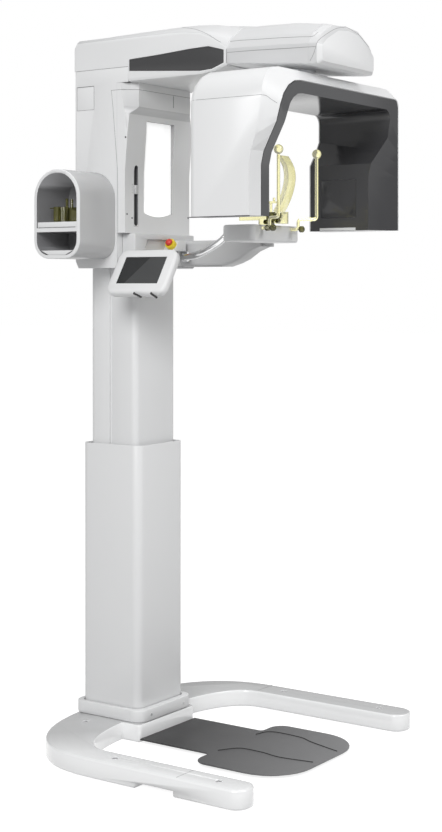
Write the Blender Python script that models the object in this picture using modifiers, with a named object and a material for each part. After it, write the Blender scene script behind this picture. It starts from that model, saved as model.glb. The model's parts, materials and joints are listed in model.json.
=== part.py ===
"""Cone beam CT scanner on a telescopic column, every piece at its real size.

Metres, +Z up. The origin is on the floor under the middle of the column. The patient
stands on the -Y side, and the accessory box and the control panel are on the -X side.
"""

import math

import bmesh
import bpy
from mathutils import Matrix, Vector

FIT_GAP = 0.0003

# Base
BASE_HEIGHT = 0.060
BASE_HALF_WIDTH = 0.531
BASE_LEG_WIDTH = 0.101
BASE_REAR = 0.135
BASE_OUTER_CENTRE = -0.250
BASE_INNER_CENTRE = -0.240
BASE_INNER_REACH = 0.170
BASE_LEG_TIP = -0.801
BASE_TIP_RADIUS = 0.046
BASE_CURVE_POWER = 2.5
BASE_BLOCK_HALF = 0.154
BASE_BLOCK_FRONT = -0.147
BASE_EDGE = 0.008
BASE_ARCH = (-0.562, -0.413)
BASE_ARCH_HEIGHT = 0.020
BASE_ARCH_WALL = 0.023
SCREW_RECESS_RADIUS = 0.0125
SCREW_RECESS_DEPTH = 0.0035
SCREW_RECESSES = ((0.480, -0.690), (0.480, -0.304), (0.218, 0.028))
FOOTPLATE_HEIGHT = 0.015
FOOTPLATE_SHEET = 0.005
FOOTPLATE_OVERHANG = 0.032
FOOTPLATE_HALF_WIDTH = 0.250
FOOTPLATE_REAR = -0.425
FOOTPLATE_FRONT = -0.770

# Column
COLLAR_HALF_WIDTH = 0.148
COLLAR_FRONT = -0.147
COLLAR_REAR = 0.142
COLLAR_HEIGHT = 0.0407
COLLAR_SPLIT = -0.100
COLLAR_CLEARANCE = 0.003
LOWER_HALF_X = 0.128
LOWER_HALF_Y = 0.122
LOWER_CORNER = 0.030
LOWER_WALL = 0.004
LOWER_TOP = 0.971
UPPER_HALF_X = 0.112
UPPER_HALF_Y = 0.098
UPPER_CORNER = 0.022
UPPER_WALL = 0.014
UPPER_BOTTOM = 0.640
GROOVE_WIDTH = 0.012
GROOVE_DEPTH = 0.006
GROOVE_Y = 0.007
PAD_BAND = (LOWER_TOP - 0.071, LOWER_TOP - 0.016)
PAD_HALF_Y = 0.050
GEARBOX_HEIGHT = 0.0247
GEARBOX_X = (-0.040, 0.040)
GEARBOX_Y = (-0.055, 0.075)
MOTOR_CAN_Y = 0.042
MOTOR_CAN_TOP = 0.190
MOTOR_CAN_RADIUS = 0.028
ACTUATOR_Y = -0.022
ACTUATOR_RADIUS = 0.028
ACTUATOR_TOP = 0.860
ROD_RADIUS = 0.013
ROD_CLEARANCE = 0.0015
ROD_BOTTOM = 0.660
ROD_TOP = 1.450
HEAD_PLATE = 0.006

# Cabinet
CABINET_BOTTOM = 1.560
CABINET_TOP = 2.220
CABINET_HALF = 0.180
CABINET_REAR = 0.110
CABINET_FRONT = -0.073
CABINET_NECK_FRONT = -0.1197
CABINET_NECK_BOTTOM = 2.1703
CABINET_WALL = 0.004
CABINET_REAR_RADIUS = 0.010
CABINET_CHAMFER = (0.018, 0.032)
PANEL_BOTTOM = 1.6753
PANEL_FACE = -0.106
PANEL_BROW = -0.118
PANEL_NOSE = -0.136
PANEL_LEAN = (1.880, 2.012)
PANEL_VISOR = (2.067, 2.091)
PANEL_CORNER_TOP = (2.140, 2.200)
PANEL_CORNER_SIDES = (-0.1165, -0.1050, -0.1000, -0.0890, -0.0890)
PANEL_CORNER_INSETS = (0.0010, 0.0090, 0.0370, 0.0370, 0.0370)
MIRROR_HALF = 0.078
MIRROR_LOW = 1.745
MIRROR_HIGH = 2.050
MIRROR_SAG = 0.012
MIRROR_FLOOR = -0.099
MIRROR_THICKNESS = 0.003
SLOT_X = -0.121
SLOT_HALF = 0.0095
SLOT_BAND = (1.700, 1.900)
SLOT_FLOOR = -0.086
LIGHT_KNOB_BAND = (1.805, 1.835)
COVER_Y = (0.025, 0.098)
COVER_Z = (2.088, 2.166)
COVER_RECESS = 0.0025

# Accessory box
BOX_Y = (-0.066, 0.127)
BOX_Z = (1.589, 1.879)
BOX_DEPTH = 0.1837
BOX_WALL = 0.012
BOX_BOTTOM_RADIUS = 0.060
BOX_CAVITY = 0.160
SHELF = (1.676, 1.689)
TRAY_LENGTH = 0.157
TRAY_SIDE_GAP = 0.0005
LOWER_TRAY_FLOOR_Y = (-0.005, 0.066)
LOWER_TRAY_RIM_Y = (-0.037, 0.098)
LOWER_TRAY_DISH_Y = (-0.024, 0.085)
LOWER_TRAY_HEIGHT = 0.0145
LOWER_TRAY_FLOOR = 0.0095

# Console, control panel and chin arm
CONSOLE_X = (-0.153, 0.1797)
CONSOLE_FACE = -0.127
CONSOLE_RECESS = 0.010
STOP_POINT = (0.018, -0.1455, 1.642)
STOP_TILT = 32.6
STOP_TRAVEL = 0.004
STOP_COLLAR = 0.016
STOP_CAP_RADIUS = 0.0125
MONITOR_TILT = 32.6
MONITOR_CENTRE = (-0.230, -0.213, 1.552)
MONITOR_SIZE = (0.234, 0.168)
MONITOR_THICKNESS = 0.030
SCREEN_SIZE = (0.166, 0.102)
SCREEN_DEPTH = 0.004
HINGE_BEHIND = 0.055
PIN_RADIUS = 0.006
KNUCKLE_RADIUS = 0.013
TABLE_HALF = 0.139
TABLE_Y = (-0.583, -0.461)
TABLE_Z = (1.6415, 1.695)
HANDLE_RADIUS = 0.0115
HANDLE_ROOT = (0.0965, -0.158, 1.601)
ROSETTE_RADIUS = 0.020

# Head rest of clear plastic
CHIN_BAR_X = (-0.011, 0.011)
CHIN_BAR_Y = (-0.600, -0.440)
CHIN_BAR_Z = (1.713, 1.727)
CHIN_POST_Y = -0.530
CHIN_POST_RADIUS = 0.015
CHIN_CUP_X = (-0.030, 0.030)
CHIN_CUP_Y = (-0.612, -0.584)
CHIN_CUP_FOOT = 1.700
CHIN_CUP_TOP = 1.738
BLADE_FOOT = (-0.588, CHIN_CUP_TOP + 0.0015)
BLADE_X = (-0.028, 0.037)
ROD_HINGE_X = 0.085
ROD_HINGE_Z = 1.684
TEMPLE_ROD_RADIUS = 0.0055
TEMPLE_X = 0.1145
TEMPLE_Y = -0.662
TEMPLE_TOP = 1.911
TEMPLE_BALL = 0.0155

# Arm
ARM_HALF = CABINET_HALF
ARM_WALL = 0.004
ARM_REAR = 0.110
ARM_JOINT = -0.510
ARM_NOSE_JOINT = -0.810
ARM_NOSE = -0.848
TRIM_REACH = 0.005
INSERT_THICKNESS = 0.006
INSERT_RECESS = 0.0015
BEAM_Z = (2.240, 2.290)
DRIVE_Z = (2.2045, 2.2165)
HUB_HOLE_RADIUS = 0.055
NECK_RADIUS = 0.0497
GANTRY_PULLEY_RADIUS = 0.075
MOTOR_Y = -0.450
MOTOR_SHAFT_RADIUS = 0.006
BELT_THICKNESS = 0.002
PULLEY_RATIO = 4.5

# Rotating unit
GANTRY_AXIS_Y = -0.667
GANTRY_REAR = -0.5213
GANTRY_HALF = 0.400
GANTRY_TOP = 2.155
GANTRY_BOTTOM_LEFT = 1.709
GANTRY_BOTTOM_RIGHT = 1.685
GANTRY_INNER = 0.300
GANTRY_CEILING = 2.080
GANTRY_RING_FRONT = -0.813
GANTRY_WALL = 0.004
LINER_WALL = 0.003
LEFT_HEIGHTS = (1.800, 1.860, 1.900, 1.945, 1.985)
RIGHT_HEIGHTS = (1.990, 1.945, 1.905, 1.860, 1.800)
ARC_STEPS = 5
WINDOW_Y = (-0.702, -0.567)
WINDOW_Z = (1.727, 1.855)

FINISHES = {
    "white_cover": ((0.80, 0.81, 0.82), 0.35, 0.0),
    "white_metal": ((0.80, 0.81, 0.82), 0.30, 0.0),
    "column_paint": ((0.78, 0.79, 0.80), 0.35, 0.0),
    "dark_plate": ((0.09, 0.09, 0.10), 0.45, 0.0),
    "dark_insert": ((0.06, 0.06, 0.065), 0.40, 0.0),
    "dark_liner": ((0.12, 0.12, 0.125), 0.45, 0.0),
    "gloss_black": ((0.02, 0.02, 0.022), 0.10, 0.0),
    "steel": ((0.55, 0.56, 0.58), 0.35, 1.0),
    "aluminium": ((0.75, 0.76, 0.78), 0.35, 1.0),
    "chrome": ((0.85, 0.86, 0.88), 0.08, 1.0),
    "belt_rubber": ((0.03, 0.03, 0.03), 0.80, 0.0),
    "clear_yellow": ((0.86, 0.80, 0.45), 0.15, 0.0),
    "clear_olive": ((0.22, 0.21, 0.06), 0.20, 0.0),
    "stop_red": ((0.70, 0.05, 0.04), 0.35, 0.0),
    "stop_yellow": ((0.85, 0.68, 0.03), 0.40, 0.0),
    "mirror_glass": ((0.90, 0.91, 0.92), 0.02, 1.0),
    "slide_plastic": ((0.30, 0.30, 0.31), 0.40, 0.0),
}


def clear_scene():
    for obj in list(bpy.data.objects):
        bpy.data.objects.remove(obj)


def new_collection(name):
    found = bpy.data.collections.new(name)
    bpy.context.scene.collection.children.link(found)
    return found


def make_materials():
    for slot, (colour, roughness, metallic) in FINISHES.items():
        material = bpy.data.materials.new(slot)
        material.use_nodes = True
        shader = material.node_tree.nodes["Principled BSDF"]
        shader.inputs["Base Color"].default_value = (*colour, 1.0)
        shader.inputs["Roughness"].default_value = roughness
        shader.inputs["Metallic"].default_value = metallic


clear_scene()
make_materials()
PARTS = new_collection("cone_beam_ct_scanner")
CUTTERS = new_collection("cutters")


def make(name, bm, finish=None):
    """Turns a closed bmesh into a piece, or into a cutter where it has no finish."""
    bmesh.ops.recalc_face_normals(bm, faces=bm.faces)
    mesh = bpy.data.meshes.new(name)
    bm.to_mesh(mesh)
    bm.free()
    obj = bpy.data.objects.new(name, mesh)
    if finish:
        mesh.materials.append(bpy.data.materials[finish])
        PARTS.objects.link(obj)
    else:
        CUTTERS.objects.link(obj)
        obj.hide_render = True
        obj.display_type = "WIRE"
    return obj


def baked(obj):
    """Makes the result of an object's modifiers its mesh, with its seams merged."""
    graph = bpy.context.evaluated_depsgraph_get()
    mesh = bpy.data.meshes.new_from_object(obj.evaluated_get(graph))
    obj.modifiers.clear()
    bm = bmesh.new()
    bm.from_mesh(mesh)
    bmesh.ops.remove_doubles(bm, verts=bm.verts, dist=0.00005)
    bmesh.ops.recalc_face_normals(bm, faces=bm.faces)
    bm.to_mesh(mesh)
    bm.free()
    obj.data = mesh
    return obj


def smooth(obj, angle=40):
    for polygon in obj.data.polygons:
        polygon.use_smooth = True
    obj.data.set_sharp_from_angle(angle=math.radians(angle))
    return obj


def cut(obj, *tools, operation="DIFFERENCE"):
    for tool in tools:
        modifier = obj.modifiers.new(tool.name, "BOOLEAN")
        modifier.operation = operation
        modifier.solver = "EXACT"
        modifier.object = tool
    return obj


def join(obj, *tools):
    return cut(obj, *tools, operation="UNION")


def keep_inside(obj, *tools):
    return cut(obj, *tools, operation="INTERSECT")


def bevel(obj, width, segments=2, angle=50):
    modifier = obj.modifiers.new("Edges", "BEVEL")
    modifier.width = width
    modifier.segments = segments
    modifier.limit_method = "ANGLE"
    modifier.angle_limit = math.radians(angle)
    return obj


def across(axis, u, v, w):
    """Point at (u, v) in the plane across an axis, and w along it."""
    if axis == "X":
        return Vector((w, u, v))
    if axis == "Y":
        return Vector((u, w, v))
    return Vector((u, v, w))


def rounded(corners, steps=5):
    """Outline through (u, v, radius) corners, each turned into an arc of its radius."""
    points = []
    for index, (u, v, radius) in enumerate(corners):
        corner = Vector((u, v))
        if radius == 0:
            points.append(tuple(corner))
            continue
        before = (Vector(corners[index - 1][:2]) - corner).normalized()
        after = (Vector(corners[(index + 1) % len(corners)][:2]) - corner).normalized()
        half = before.angle(after) / 2
        centre = corner + (before + after).normalized() * radius / math.sin(half)
        start = corner + before * radius / math.tan(half) - centre
        end = corner + after * radius / math.tan(half) - centre
        turn = start.angle(end)
        for step in range(steps + 1):
            part = step / steps
            spoke = start * math.sin((1 - part) * turn) + end * math.sin(part * turn)
            points.append(tuple(centre + spoke / math.sin(turn)))
    return points


def rectangle(u_range, v_range, radius=0.0, steps=5):
    low, high = u_range
    bottom, top = v_range
    corners = ((low, bottom), (high, bottom), (high, top), (low, top))
    return rounded([(u, v, radius) for u, v in corners], steps)


def mirrored(half):
    """Closed outline from a half that starts and ends on the line u = 0."""
    return list(half) + [(-u, v) for u, v in reversed(half) if abs(u) > 1e-6]


def prism(name, outline, w_range, axis="Z", finish=None):
    low, high = w_range
    bm = bmesh.new()
    face = bm.faces.new([bm.verts.new(across(axis, u, v, low)) for u, v in outline])
    raised = bmesh.ops.extrude_face_region(bm, geom=[face])["geom"]
    tops = [item for item in raised if isinstance(item, bmesh.types.BMVert)]
    bmesh.ops.translate(bm, verts=tops, vec=across(axis, 0, 0, high - low))
    return make(name, bm, finish)


def box(name, x_range, y_range, z_range, finish=None):
    bm = bmesh.new()
    bmesh.ops.create_cube(bm, size=1)
    lows, highs = zip(x_range, y_range, z_range)
    size = Vector(highs) - Vector(lows)
    bmesh.ops.scale(bm, verts=bm.verts, vec=size)
    bmesh.ops.translate(bm, verts=bm.verts, vec=(Vector(lows) + Vector(highs)) / 2)
    return make(name, bm, finish)


def cylinder(name, start, end, radius, finish=None, sides=32):
    start, end = Vector(start), Vector(end)
    turn = (end - start).to_track_quat("Z", "Y").to_matrix().to_4x4()
    bm = bmesh.new()
    bmesh.ops.create_cone(
        bm,
        cap_ends=True,
        segments=sides,
        radius1=radius,
        radius2=radius,
        depth=(end - start).length,
        matrix=Matrix.Translation((start + end) / 2) @ turn,
    )
    return smooth(make(name, bm, finish))


def turned(name, profile, foot, axis, finish=None, sides=32):
    """Solid of revolution: (radius, height) points from the top down, turned about the axis."""
    mesh = bpy.data.meshes.new(name)
    obj = bpy.data.objects.new(name, mesh)
    bm = bmesh.new()
    verts = [bm.verts.new((radius, 0, height)) for radius, height in profile]
    for first, second in zip(verts, verts[1:]):
        bm.edges.new((first, second))
    if profile[0][0] > 0:
        bm.edges.new((verts[-1], verts[0]))
    bm.to_mesh(mesh)
    bm.free()
    CUTTERS.objects.link(obj)
    screw = obj.modifiers.new("Turn", "SCREW")
    screw.steps = sides
    screw.render_steps = sides
    screw.use_merge_vertices = True
    screw.merge_threshold = 0.00005
    turn = Vector(axis).to_track_quat("Z", "Y").to_matrix().to_4x4()
    baked(obj)
    obj.data.transform(Matrix.Translation(foot) @ turn)
    if finish:
        CUTTERS.objects.unlink(obj)
        PARTS.objects.link(obj)
        obj.data.materials.clear()
        obj.data.materials.append(bpy.data.materials[finish])
    else:
        obj.hide_render = True
        obj.display_type = "WIRE"
    return smooth(obj)


def rail(name, path, radius, finish=None, resolution=3):
    """Round bar along a path of points, as a mesh with closed ends."""
    data = bpy.data.curves.new(name, "CURVE")
    data.dimensions = "3D"
    data.bevel_depth = radius
    data.bevel_resolution = resolution
    data.use_fill_caps = True
    spline = data.splines.new("POLY")
    spline.points.add(len(path) - 1)
    for point, place in zip(spline.points, path):
        point.co = (*place, 1)
    curve = bpy.data.objects.new(name + "_path", data)
    CUTTERS.objects.link(curve)
    graph = bpy.context.evaluated_depsgraph_get()
    mesh = bpy.data.meshes.new_from_object(curve.evaluated_get(graph))
    bm = bmesh.new()
    bm.from_mesh(mesh)
    bmesh.ops.remove_doubles(bm, verts=bm.verts, dist=0.00005)
    obj = make(name, bm, finish)
    bpy.data.objects.remove(curve)
    return smooth(obj)


def bent(corners, steps=5):
    """Path through (point, radius) corners, with an arc at each corner inside the path."""
    path = [Vector(corners[0][0])]
    for index in range(1, len(corners) - 1):
        corner, radius = Vector(corners[index][0]), corners[index][1]
        before = (Vector(corners[index - 1][0]) - corner).normalized()
        after = (Vector(corners[index + 1][0]) - corner).normalized()
        half = before.angle(after) / 2
        centre = corner + (before + after).normalized() * radius / math.sin(half)
        start = corner + before * radius / math.tan(half) - centre
        end = corner + after * radius / math.tan(half) - centre
        turn = start.angle(end)
        for step in range(steps + 1):
            part = step / steps
            spoke = start * math.sin((1 - part) * turn) + end * math.sin(part * turn)
            path.append(centre + spoke / math.sin(turn))
    path.append(Vector(corners[-1][0]))
    return path


def curve_through(points, steps=4):
    """Smooth path through points, as a Catmull-Rom curve."""
    line = [Vector(point) for point in points]
    line = [line[0] * 2 - line[1]] + line + [line[-1] * 2 - line[-2]]
    path = []
    for first, second, third, fourth in zip(line, line[1:], line[2:], line[3:]):
        for step in range(steps):
            t = step / steps
            path.append(
                0.5
                * (
                    2 * second
                    + (third - first) * t
                    + (2 * first - 5 * second + 4 * third - fourth) * t**2
                    + (3 * second - first - 3 * third + fourth) * t**3
                )
            )
    path.append(line[-2])
    return path


def skin(bm, rows, closed):
    """Quads between rows of points of equal count; returns the rows of vertices."""
    loops = [[bm.verts.new(point) for point in row] for row in rows]
    for first, second in zip(loops, loops[1:]):
        count = len(first) if closed else len(first) - 1
        for index in range(count):
            after = (index + 1) % len(first)
            bm.faces.new((first[index], first[after], second[after], second[index]))
    return loops


def loft(name, rows, finish=None):
    """Closed solid through closed sections, with flat ends."""
    bm = bmesh.new()
    loops = skin(bm, rows, closed=True)
    bm.faces.new(loops[0])
    bm.faces.new(loops[-1])
    return make(name, bm, finish)


def sheet(name, rows, wall, finish, closed=False, caps=(), outside=None):
    """Thin shell: a surface through the rows, thickened away from the side it faces."""
    bm = bmesh.new()
    loops = skin(bm, rows, closed)
    for end in caps:
        bm.faces.new(loops[end])
    bmesh.ops.recalc_face_normals(bm, faces=bm.faces)
    bm.normal_update()
    probe, direction = outside
    nearest = min(bm.faces, key=lambda face: (face.calc_center_median() - Vector(probe)).length)
    if nearest.normal.dot(Vector(direction)) < 0:
        bmesh.ops.reverse_faces(bm, faces=bm.faces)
    mesh = bpy.data.meshes.new(name)
    bm.to_mesh(mesh)
    bm.free()
    obj = bpy.data.objects.new(name, mesh)
    mesh.materials.append(bpy.data.materials[finish])
    PARTS.objects.link(obj)
    modifier = obj.modifiers.new("Wall", "SOLIDIFY")
    modifier.thickness = wall
    modifier.offset = -1
    modifier.use_even_offset = True
    return smooth(obj, 30)


def superellipse(half_width, reach, centre, x_range, steps):
    """Points of a rounded-square arc, from one x to another, reaching out to +Y."""
    power = BASE_CURVE_POWER
    angles = [math.acos((x / half_width) ** (power / 2)) for x in x_range]
    points = []
    for step in range(steps + 1):
        angle = angles[0] + (angles[1] - angles[0]) * step / steps
        x = half_width * max(math.cos(angle), 0) ** (2 / power)
        points.append((x, centre + reach * max(math.sin(angle), 0) ** (2 / power)))
    return points


def ring_tube(name, half_x, half_y, corner, wall, z_range, finish):
    """Rectangular tube with rounded corners."""
    outer = rectangle((-half_x, half_x), (-half_y, half_y), corner)
    inner_x, inner_y = half_x - wall, half_y - wall
    inner = rectangle((-inner_x, inner_x), (-inner_y, inner_y), corner - wall)
    bore = prism(name + "_bore", inner, (z_range[0] - 0.01, z_range[1] + 0.01))
    return cut(prism(name, outer, z_range, finish=finish), bore)


def base_frame():
    inner_half = BASE_HALF_WIDTH - BASE_LEG_WIDTH
    inner = superellipse(
        inner_half, BASE_INNER_REACH, BASE_INNER_CENTRE, (BASE_BLOCK_HALF, inner_half), 10
    )
    outer = superellipse(
        BASE_HALF_WIDTH, BASE_REAR - BASE_OUTER_CENTRE, BASE_OUTER_CENTRE, (BASE_HALF_WIDTH, 0), 16
    )
    tip = rounded(
        [
            (inner_half, BASE_INNER_CENTRE, 0),
            (inner_half, BASE_LEG_TIP, BASE_TIP_RADIUS),
            (BASE_HALF_WIDTH, BASE_LEG_TIP, BASE_TIP_RADIUS),
            (BASE_HALF_WIDTH, BASE_OUTER_CENTRE, 0),
        ]
    )
    block = rounded(
        [(0, BASE_BLOCK_FRONT, 0), (BASE_BLOCK_HALF, BASE_BLOCK_FRONT, 0.014), (*inner[0], 0)], 4
    )
    half = block[:-1] + inner[:-1] + tip[:-1] + outer
    frame = prism("base_frame", mirrored(half), (0, BASE_HEIGHT), finish="white_metal")
    bevel(frame, BASE_EDGE, 2, 60)
    for side, word in ((-1, "left"), (1, "right")):
        reach = sorted((side * (inner_half + BASE_ARCH_WALL), side * (BASE_HALF_WIDTH + 0.05)))
        cut(frame, box("leg_arch_" + word, reach, BASE_ARCH, (-0.01, BASE_ARCH_HEIGHT)))
    for index, (x, y) in enumerate(SCREW_RECESSES):
        for side in (-1, 1):
            low = (side * x, y, BASE_HEIGHT - SCREW_RECESS_DEPTH)
            high = (side * x, y, BASE_HEIGHT + 0.01)
            cut(frame, cylinder(f"screw_recess_{index}_{side}", low, high, SCREW_RECESS_RADIUS, sides=16))
    return smooth(frame, 35)


def footplate_outline(inset):
    """Outline of the foot plate, a keyhole shape, shrunk by the inset."""
    neck, half_width = BASE_BLOCK_HALF - inset, FOOTPLATE_HALF_WIDTH - inset
    rear, front = FOOTPLATE_REAR - inset, FOOTPLATE_FRONT + inset
    start = BASE_BLOCK_FRONT - FIT_GAP - inset
    half = [
        (0, start, 0),
        (neck, start, 0),
        (neck, rear, 0.014 + inset),
        (half_width, rear, 0.050 - inset),
        (half_width, front, 0.150 - inset),
        (0, front, 0),
    ]
    return mirrored(rounded(half, 8))


def footplate():
    """Sheet with a raised edge, which stands on a smaller pad."""
    sheet_foot = FOOTPLATE_HEIGHT - FOOTPLATE_SHEET
    plate = prism("footplate", footplate_outline(0), (sheet_foot, FOOTPLATE_HEIGHT), finish="dark_plate")
    bevel(plate, 0.0015, 1, 60)
    pad = prism("footplate_pad", footplate_outline(FOOTPLATE_OVERHANG), (0, sheet_foot + 0.001))
    return join(plate, pad)


def collar_piece(name, removed):
    bottom = BASE_HEIGHT + FIT_GAP
    top = bottom + COLLAR_HEIGHT
    half = COLLAR_HALF_WIDTH
    outline = rectangle((-half, half), (COLLAR_FRONT, COLLAR_REAR), 0.040, 6)
    piece = prism(name, outline, (bottom, top), finish="white_cover")
    bevel(piece, 0.004, 2, 60)
    hole_x = LOWER_HALF_X + COLLAR_CLEARANCE
    hole_y = LOWER_HALF_Y + COLLAR_CLEARANCE
    hole = rectangle((-hole_x, hole_x), (-hole_y, hole_y), LOWER_CORNER, 6)
    cut(piece, prism(name + "_hole", hole, (bottom - 0.01, top + 0.01)))
    return cut(piece, box(name + "_split", (-1, 1), removed, (0, 1)))


def column_parts():
    base_top = BASE_HEIGHT + FIT_GAP
    collar_piece("collar_front", (COLLAR_SPLIT, 1))
    collar_piece("collar_rear", (-1, COLLAR_SPLIT + FIT_GAP))
    lower_band = (base_top, LOWER_TOP)
    ring_tube(
        "lower_column", LOWER_HALF_X, LOWER_HALF_Y, LOWER_CORNER, LOWER_WALL, lower_band, "column_paint"
    )
    for side, name in ((-1, "wear_pad_left"), (1, "wear_pad_right")):
        inner = side * (UPPER_HALF_X + FIT_GAP)
        outer = side * (LOWER_HALF_X - LOWER_WALL - FIT_GAP)
        pad_x = (min(inner, outer), max(inner, outer))
        pad = box(name, pad_x, (-PAD_HALF_Y, PAD_HALF_Y), PAD_BAND, "slide_plastic")
        bevel(pad, 0.002, 1)
    gearbox_top = base_top + GEARBOX_HEIGHT
    gearbox = rectangle(GEARBOX_X, GEARBOX_Y, 0.012, 4)
    motor = prism("lift_motor", gearbox, (base_top, gearbox_top), finish="steel")
    can_foot, can_top = (0, MOTOR_CAN_Y, gearbox_top - 0.01), (0, MOTOR_CAN_Y, MOTOR_CAN_TOP)
    join(motor, cylinder("motor_can", can_foot, can_top, MOTOR_CAN_RADIUS))
    tube_foot = gearbox_top + FIT_GAP
    tube_ends = (0, ACTUATOR_Y, tube_foot), (0, ACTUATOR_Y, ACTUATOR_TOP)
    tube = cylinder("actuator_tube", *tube_ends, ACTUATOR_RADIUS, "aluminium")
    bore_foot = (0, ACTUATOR_Y, tube_foot + 0.0145)
    bore_top = (0, ACTUATOR_Y, ACTUATOR_TOP + 0.01)
    cut(tube, cylinder("actuator_bore", bore_foot, bore_top, ROD_RADIUS + ROD_CLEARANCE))


def upper_column():
    band = (UPPER_BOTTOM, CABINET_BOTTOM - FIT_GAP)
    column = ring_tube(
        "upper_column", UPPER_HALF_X, UPPER_HALF_Y, UPPER_CORNER, UPPER_WALL, band, "column_paint"
    )
    groove_y = (GROOVE_Y - GROOVE_WIDTH / 2, GROOVE_Y + GROOVE_WIDTH / 2)
    for side in (-1, 1):
        faces = sorted((side * (UPPER_HALF_X - GROOVE_DEPTH), side * (UPPER_HALF_X + 0.01)))
        cut(column, box(f"groove_{side}", faces, groove_y, (0.5, 1.7)))
    rod_ends = (0, ACTUATOR_Y, ROD_BOTTOM), (0, ACTUATOR_Y, ROD_TOP + 0.002)
    rod = cylinder("lift_rod", *rod_ends, ROD_RADIUS, "steel")
    plate_x = UPPER_HALF_X - UPPER_WALL - FIT_GAP
    plate_y = UPPER_HALF_Y - UPPER_WALL - FIT_GAP
    corner = UPPER_CORNER - UPPER_WALL
    plate = rectangle((-plate_x, plate_x), (-plate_y, plate_y), corner, 4)
    join(rod, prism("head_plate", plate, (ROD_TOP, ROD_TOP + HEAD_PLATE)))


def cabinet_shell():
    rear, floor = CABINET_REAR, CABINET_BOTTOM
    run, rise = CABINET_CHAMFER
    lean = math.atan2(run, rise)
    side = [
        (CABINET_FRONT, floor),
        (rear - run, floor),
        (rear, floor + rise),
        (rear, CABINET_TOP),
        (CABINET_NECK_FRONT, CABINET_TOP),
        (CABINET_NECK_FRONT, CABINET_NECK_BOTTOM),
        (CABINET_FRONT, CABINET_NECK_BOTTOM),
    ]
    half = CABINET_HALF
    shell = prism("cabinet_shell", side, (-half, half), "X", "white_cover")
    radius = CABINET_REAR_RADIUS
    plan = rounded([(-half, -0.5, 0), (half, -0.5, 0), (half, rear, radius), (-half, rear, radius)], 4)
    keep_inside(shell, prism("cabinet_plan", plan, (floor - 0.1, CABINET_TOP + 0.1)))
    wall = CABINET_WALL
    hollow = [
        (CABINET_FRONT + wall, floor + wall),
        (rear - run - wall * math.tan((math.pi / 2 - lean) / 2), floor + wall),
        (rear - wall, floor + rise + wall * math.tan(lean / 2)),
        (rear - wall, CABINET_TOP + 0.1),
        (-0.3, CABINET_TOP + 0.1),
        (-0.3, PANEL_BOTTOM),
        (CABINET_FRONT + wall, PANEL_BOTTOM),
    ]
    cut(shell, prism("cabinet_hollow", hollow, (wall - half, half - wall), "X"))
    recess_x = (-half - 0.01, -half + COVER_RECESS)
    cut(shell, prism("cover_recess", rectangle(COVER_Y, COVER_Z, 0.004, 3), recess_x, "X"))
    cover_y = (COVER_Y[0] + FIT_GAP, COVER_Y[1] - FIT_GAP)
    cover_z = (COVER_Z[0] + FIT_GAP, COVER_Z[1] - FIT_GAP)
    cover_x = (-half, -half + COVER_RECESS - FIT_GAP)
    prism("access_cover", rectangle(cover_y, cover_z, 0.004, 3), cover_x, "X", "white_cover")


def mirror_outline(clearance):
    """Mirror with straight sides and a sagging lower edge, as (x, z) points."""
    half = MIRROR_HALF - clearance
    top = rounded([(half, MIRROR_HIGH - clearance, 0.004), (-half, MIRROR_HIGH - clearance, 0.004),
                   (-half, MIRROR_LOW, 0), (half, MIRROR_LOW, 0)], 3)[:-2]
    sag = []
    for step in range(13):
        x = -half + 2 * half * step / 12
        sag.append((x, MIRROR_LOW + clearance - MIRROR_SAG * (1 - (x / half) ** 2)))
    return top + sag


def front_panel():
    half = CABINET_HALF
    back = CABINET_FRONT - FIT_GAP
    top = CABINET_NECK_BOTTOM - 2 * FIT_GAP
    profile = [
        (back, PANEL_BOTTOM),
        (PANEL_FACE, PANEL_BOTTOM),
        (PANEL_FACE, PANEL_LEAN[0]),
        (PANEL_BROW + 0.001, PANEL_LEAN[1]),
        (PANEL_BROW, PANEL_VISOR[0]),
        (PANEL_NOSE, PANEL_VISOR[1]),
        (PANEL_NOSE, top),
        (back, top),
    ]
    panel = prism("cabinet_front_panel", profile, (-half, half), "X", "white_cover")
    heights = (PANEL_LEAN[1], *PANEL_VISOR, *PANEL_CORNER_TOP)
    fronts = (PANEL_BROW - 0.001, PANEL_BROW, PANEL_NOSE, PANEL_NOSE, PANEL_NOSE)
    corner = list(zip(heights, PANEL_CORNER_SIDES, PANEL_CORNER_INSETS, fronts))
    for side in (-1, 1):
        rows = []
        for z, y_side, inset, y_front in corner:
            x_front = half - inset
            slope = Vector((half - x_front, y_side - y_front)).normalized() * 0.01
            rows.append(
                [
                    (side * (half + slope.x), y_side + slope.y, z),
                    (side * (x_front - slope.x), y_front - slope.y, z),
                    (side * (half + 0.03), y_front - 0.04, z),
                ]
            )
        cut(panel, loft(f"panel_corner_{side}", rows))
    cut(panel, prism("mirror_recess", mirror_outline(0), (-0.2, MIRROR_FLOOR), "Y"))
    slot_x = (SLOT_X - SLOT_HALF, SLOT_X + SLOT_HALF)
    slot = rectangle(slot_x, SLOT_BAND, SLOT_HALF - 0.0001, 5)
    cut(panel, prism("light_slot", slot, (-0.2, SLOT_FLOOR), "Y"))
    glass = (MIRROR_FLOOR - FIT_GAP - MIRROR_THICKNESS, MIRROR_FLOOR - FIT_GAP)
    prism("mirror", mirror_outline(FIT_GAP), glass, "Y", "mirror_glass")
    knob_x = (SLOT_X - SLOT_HALF + 0.001, SLOT_X + SLOT_HALF - 0.001)
    knob_y = (PANEL_FACE - 0.003, SLOT_FLOOR - FIT_GAP)
    knob = box("laser_knob", knob_x, knob_y, LIGHT_KNOB_BAND, "slide_plastic")
    bevel(knob, 0.002, 2)


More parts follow.
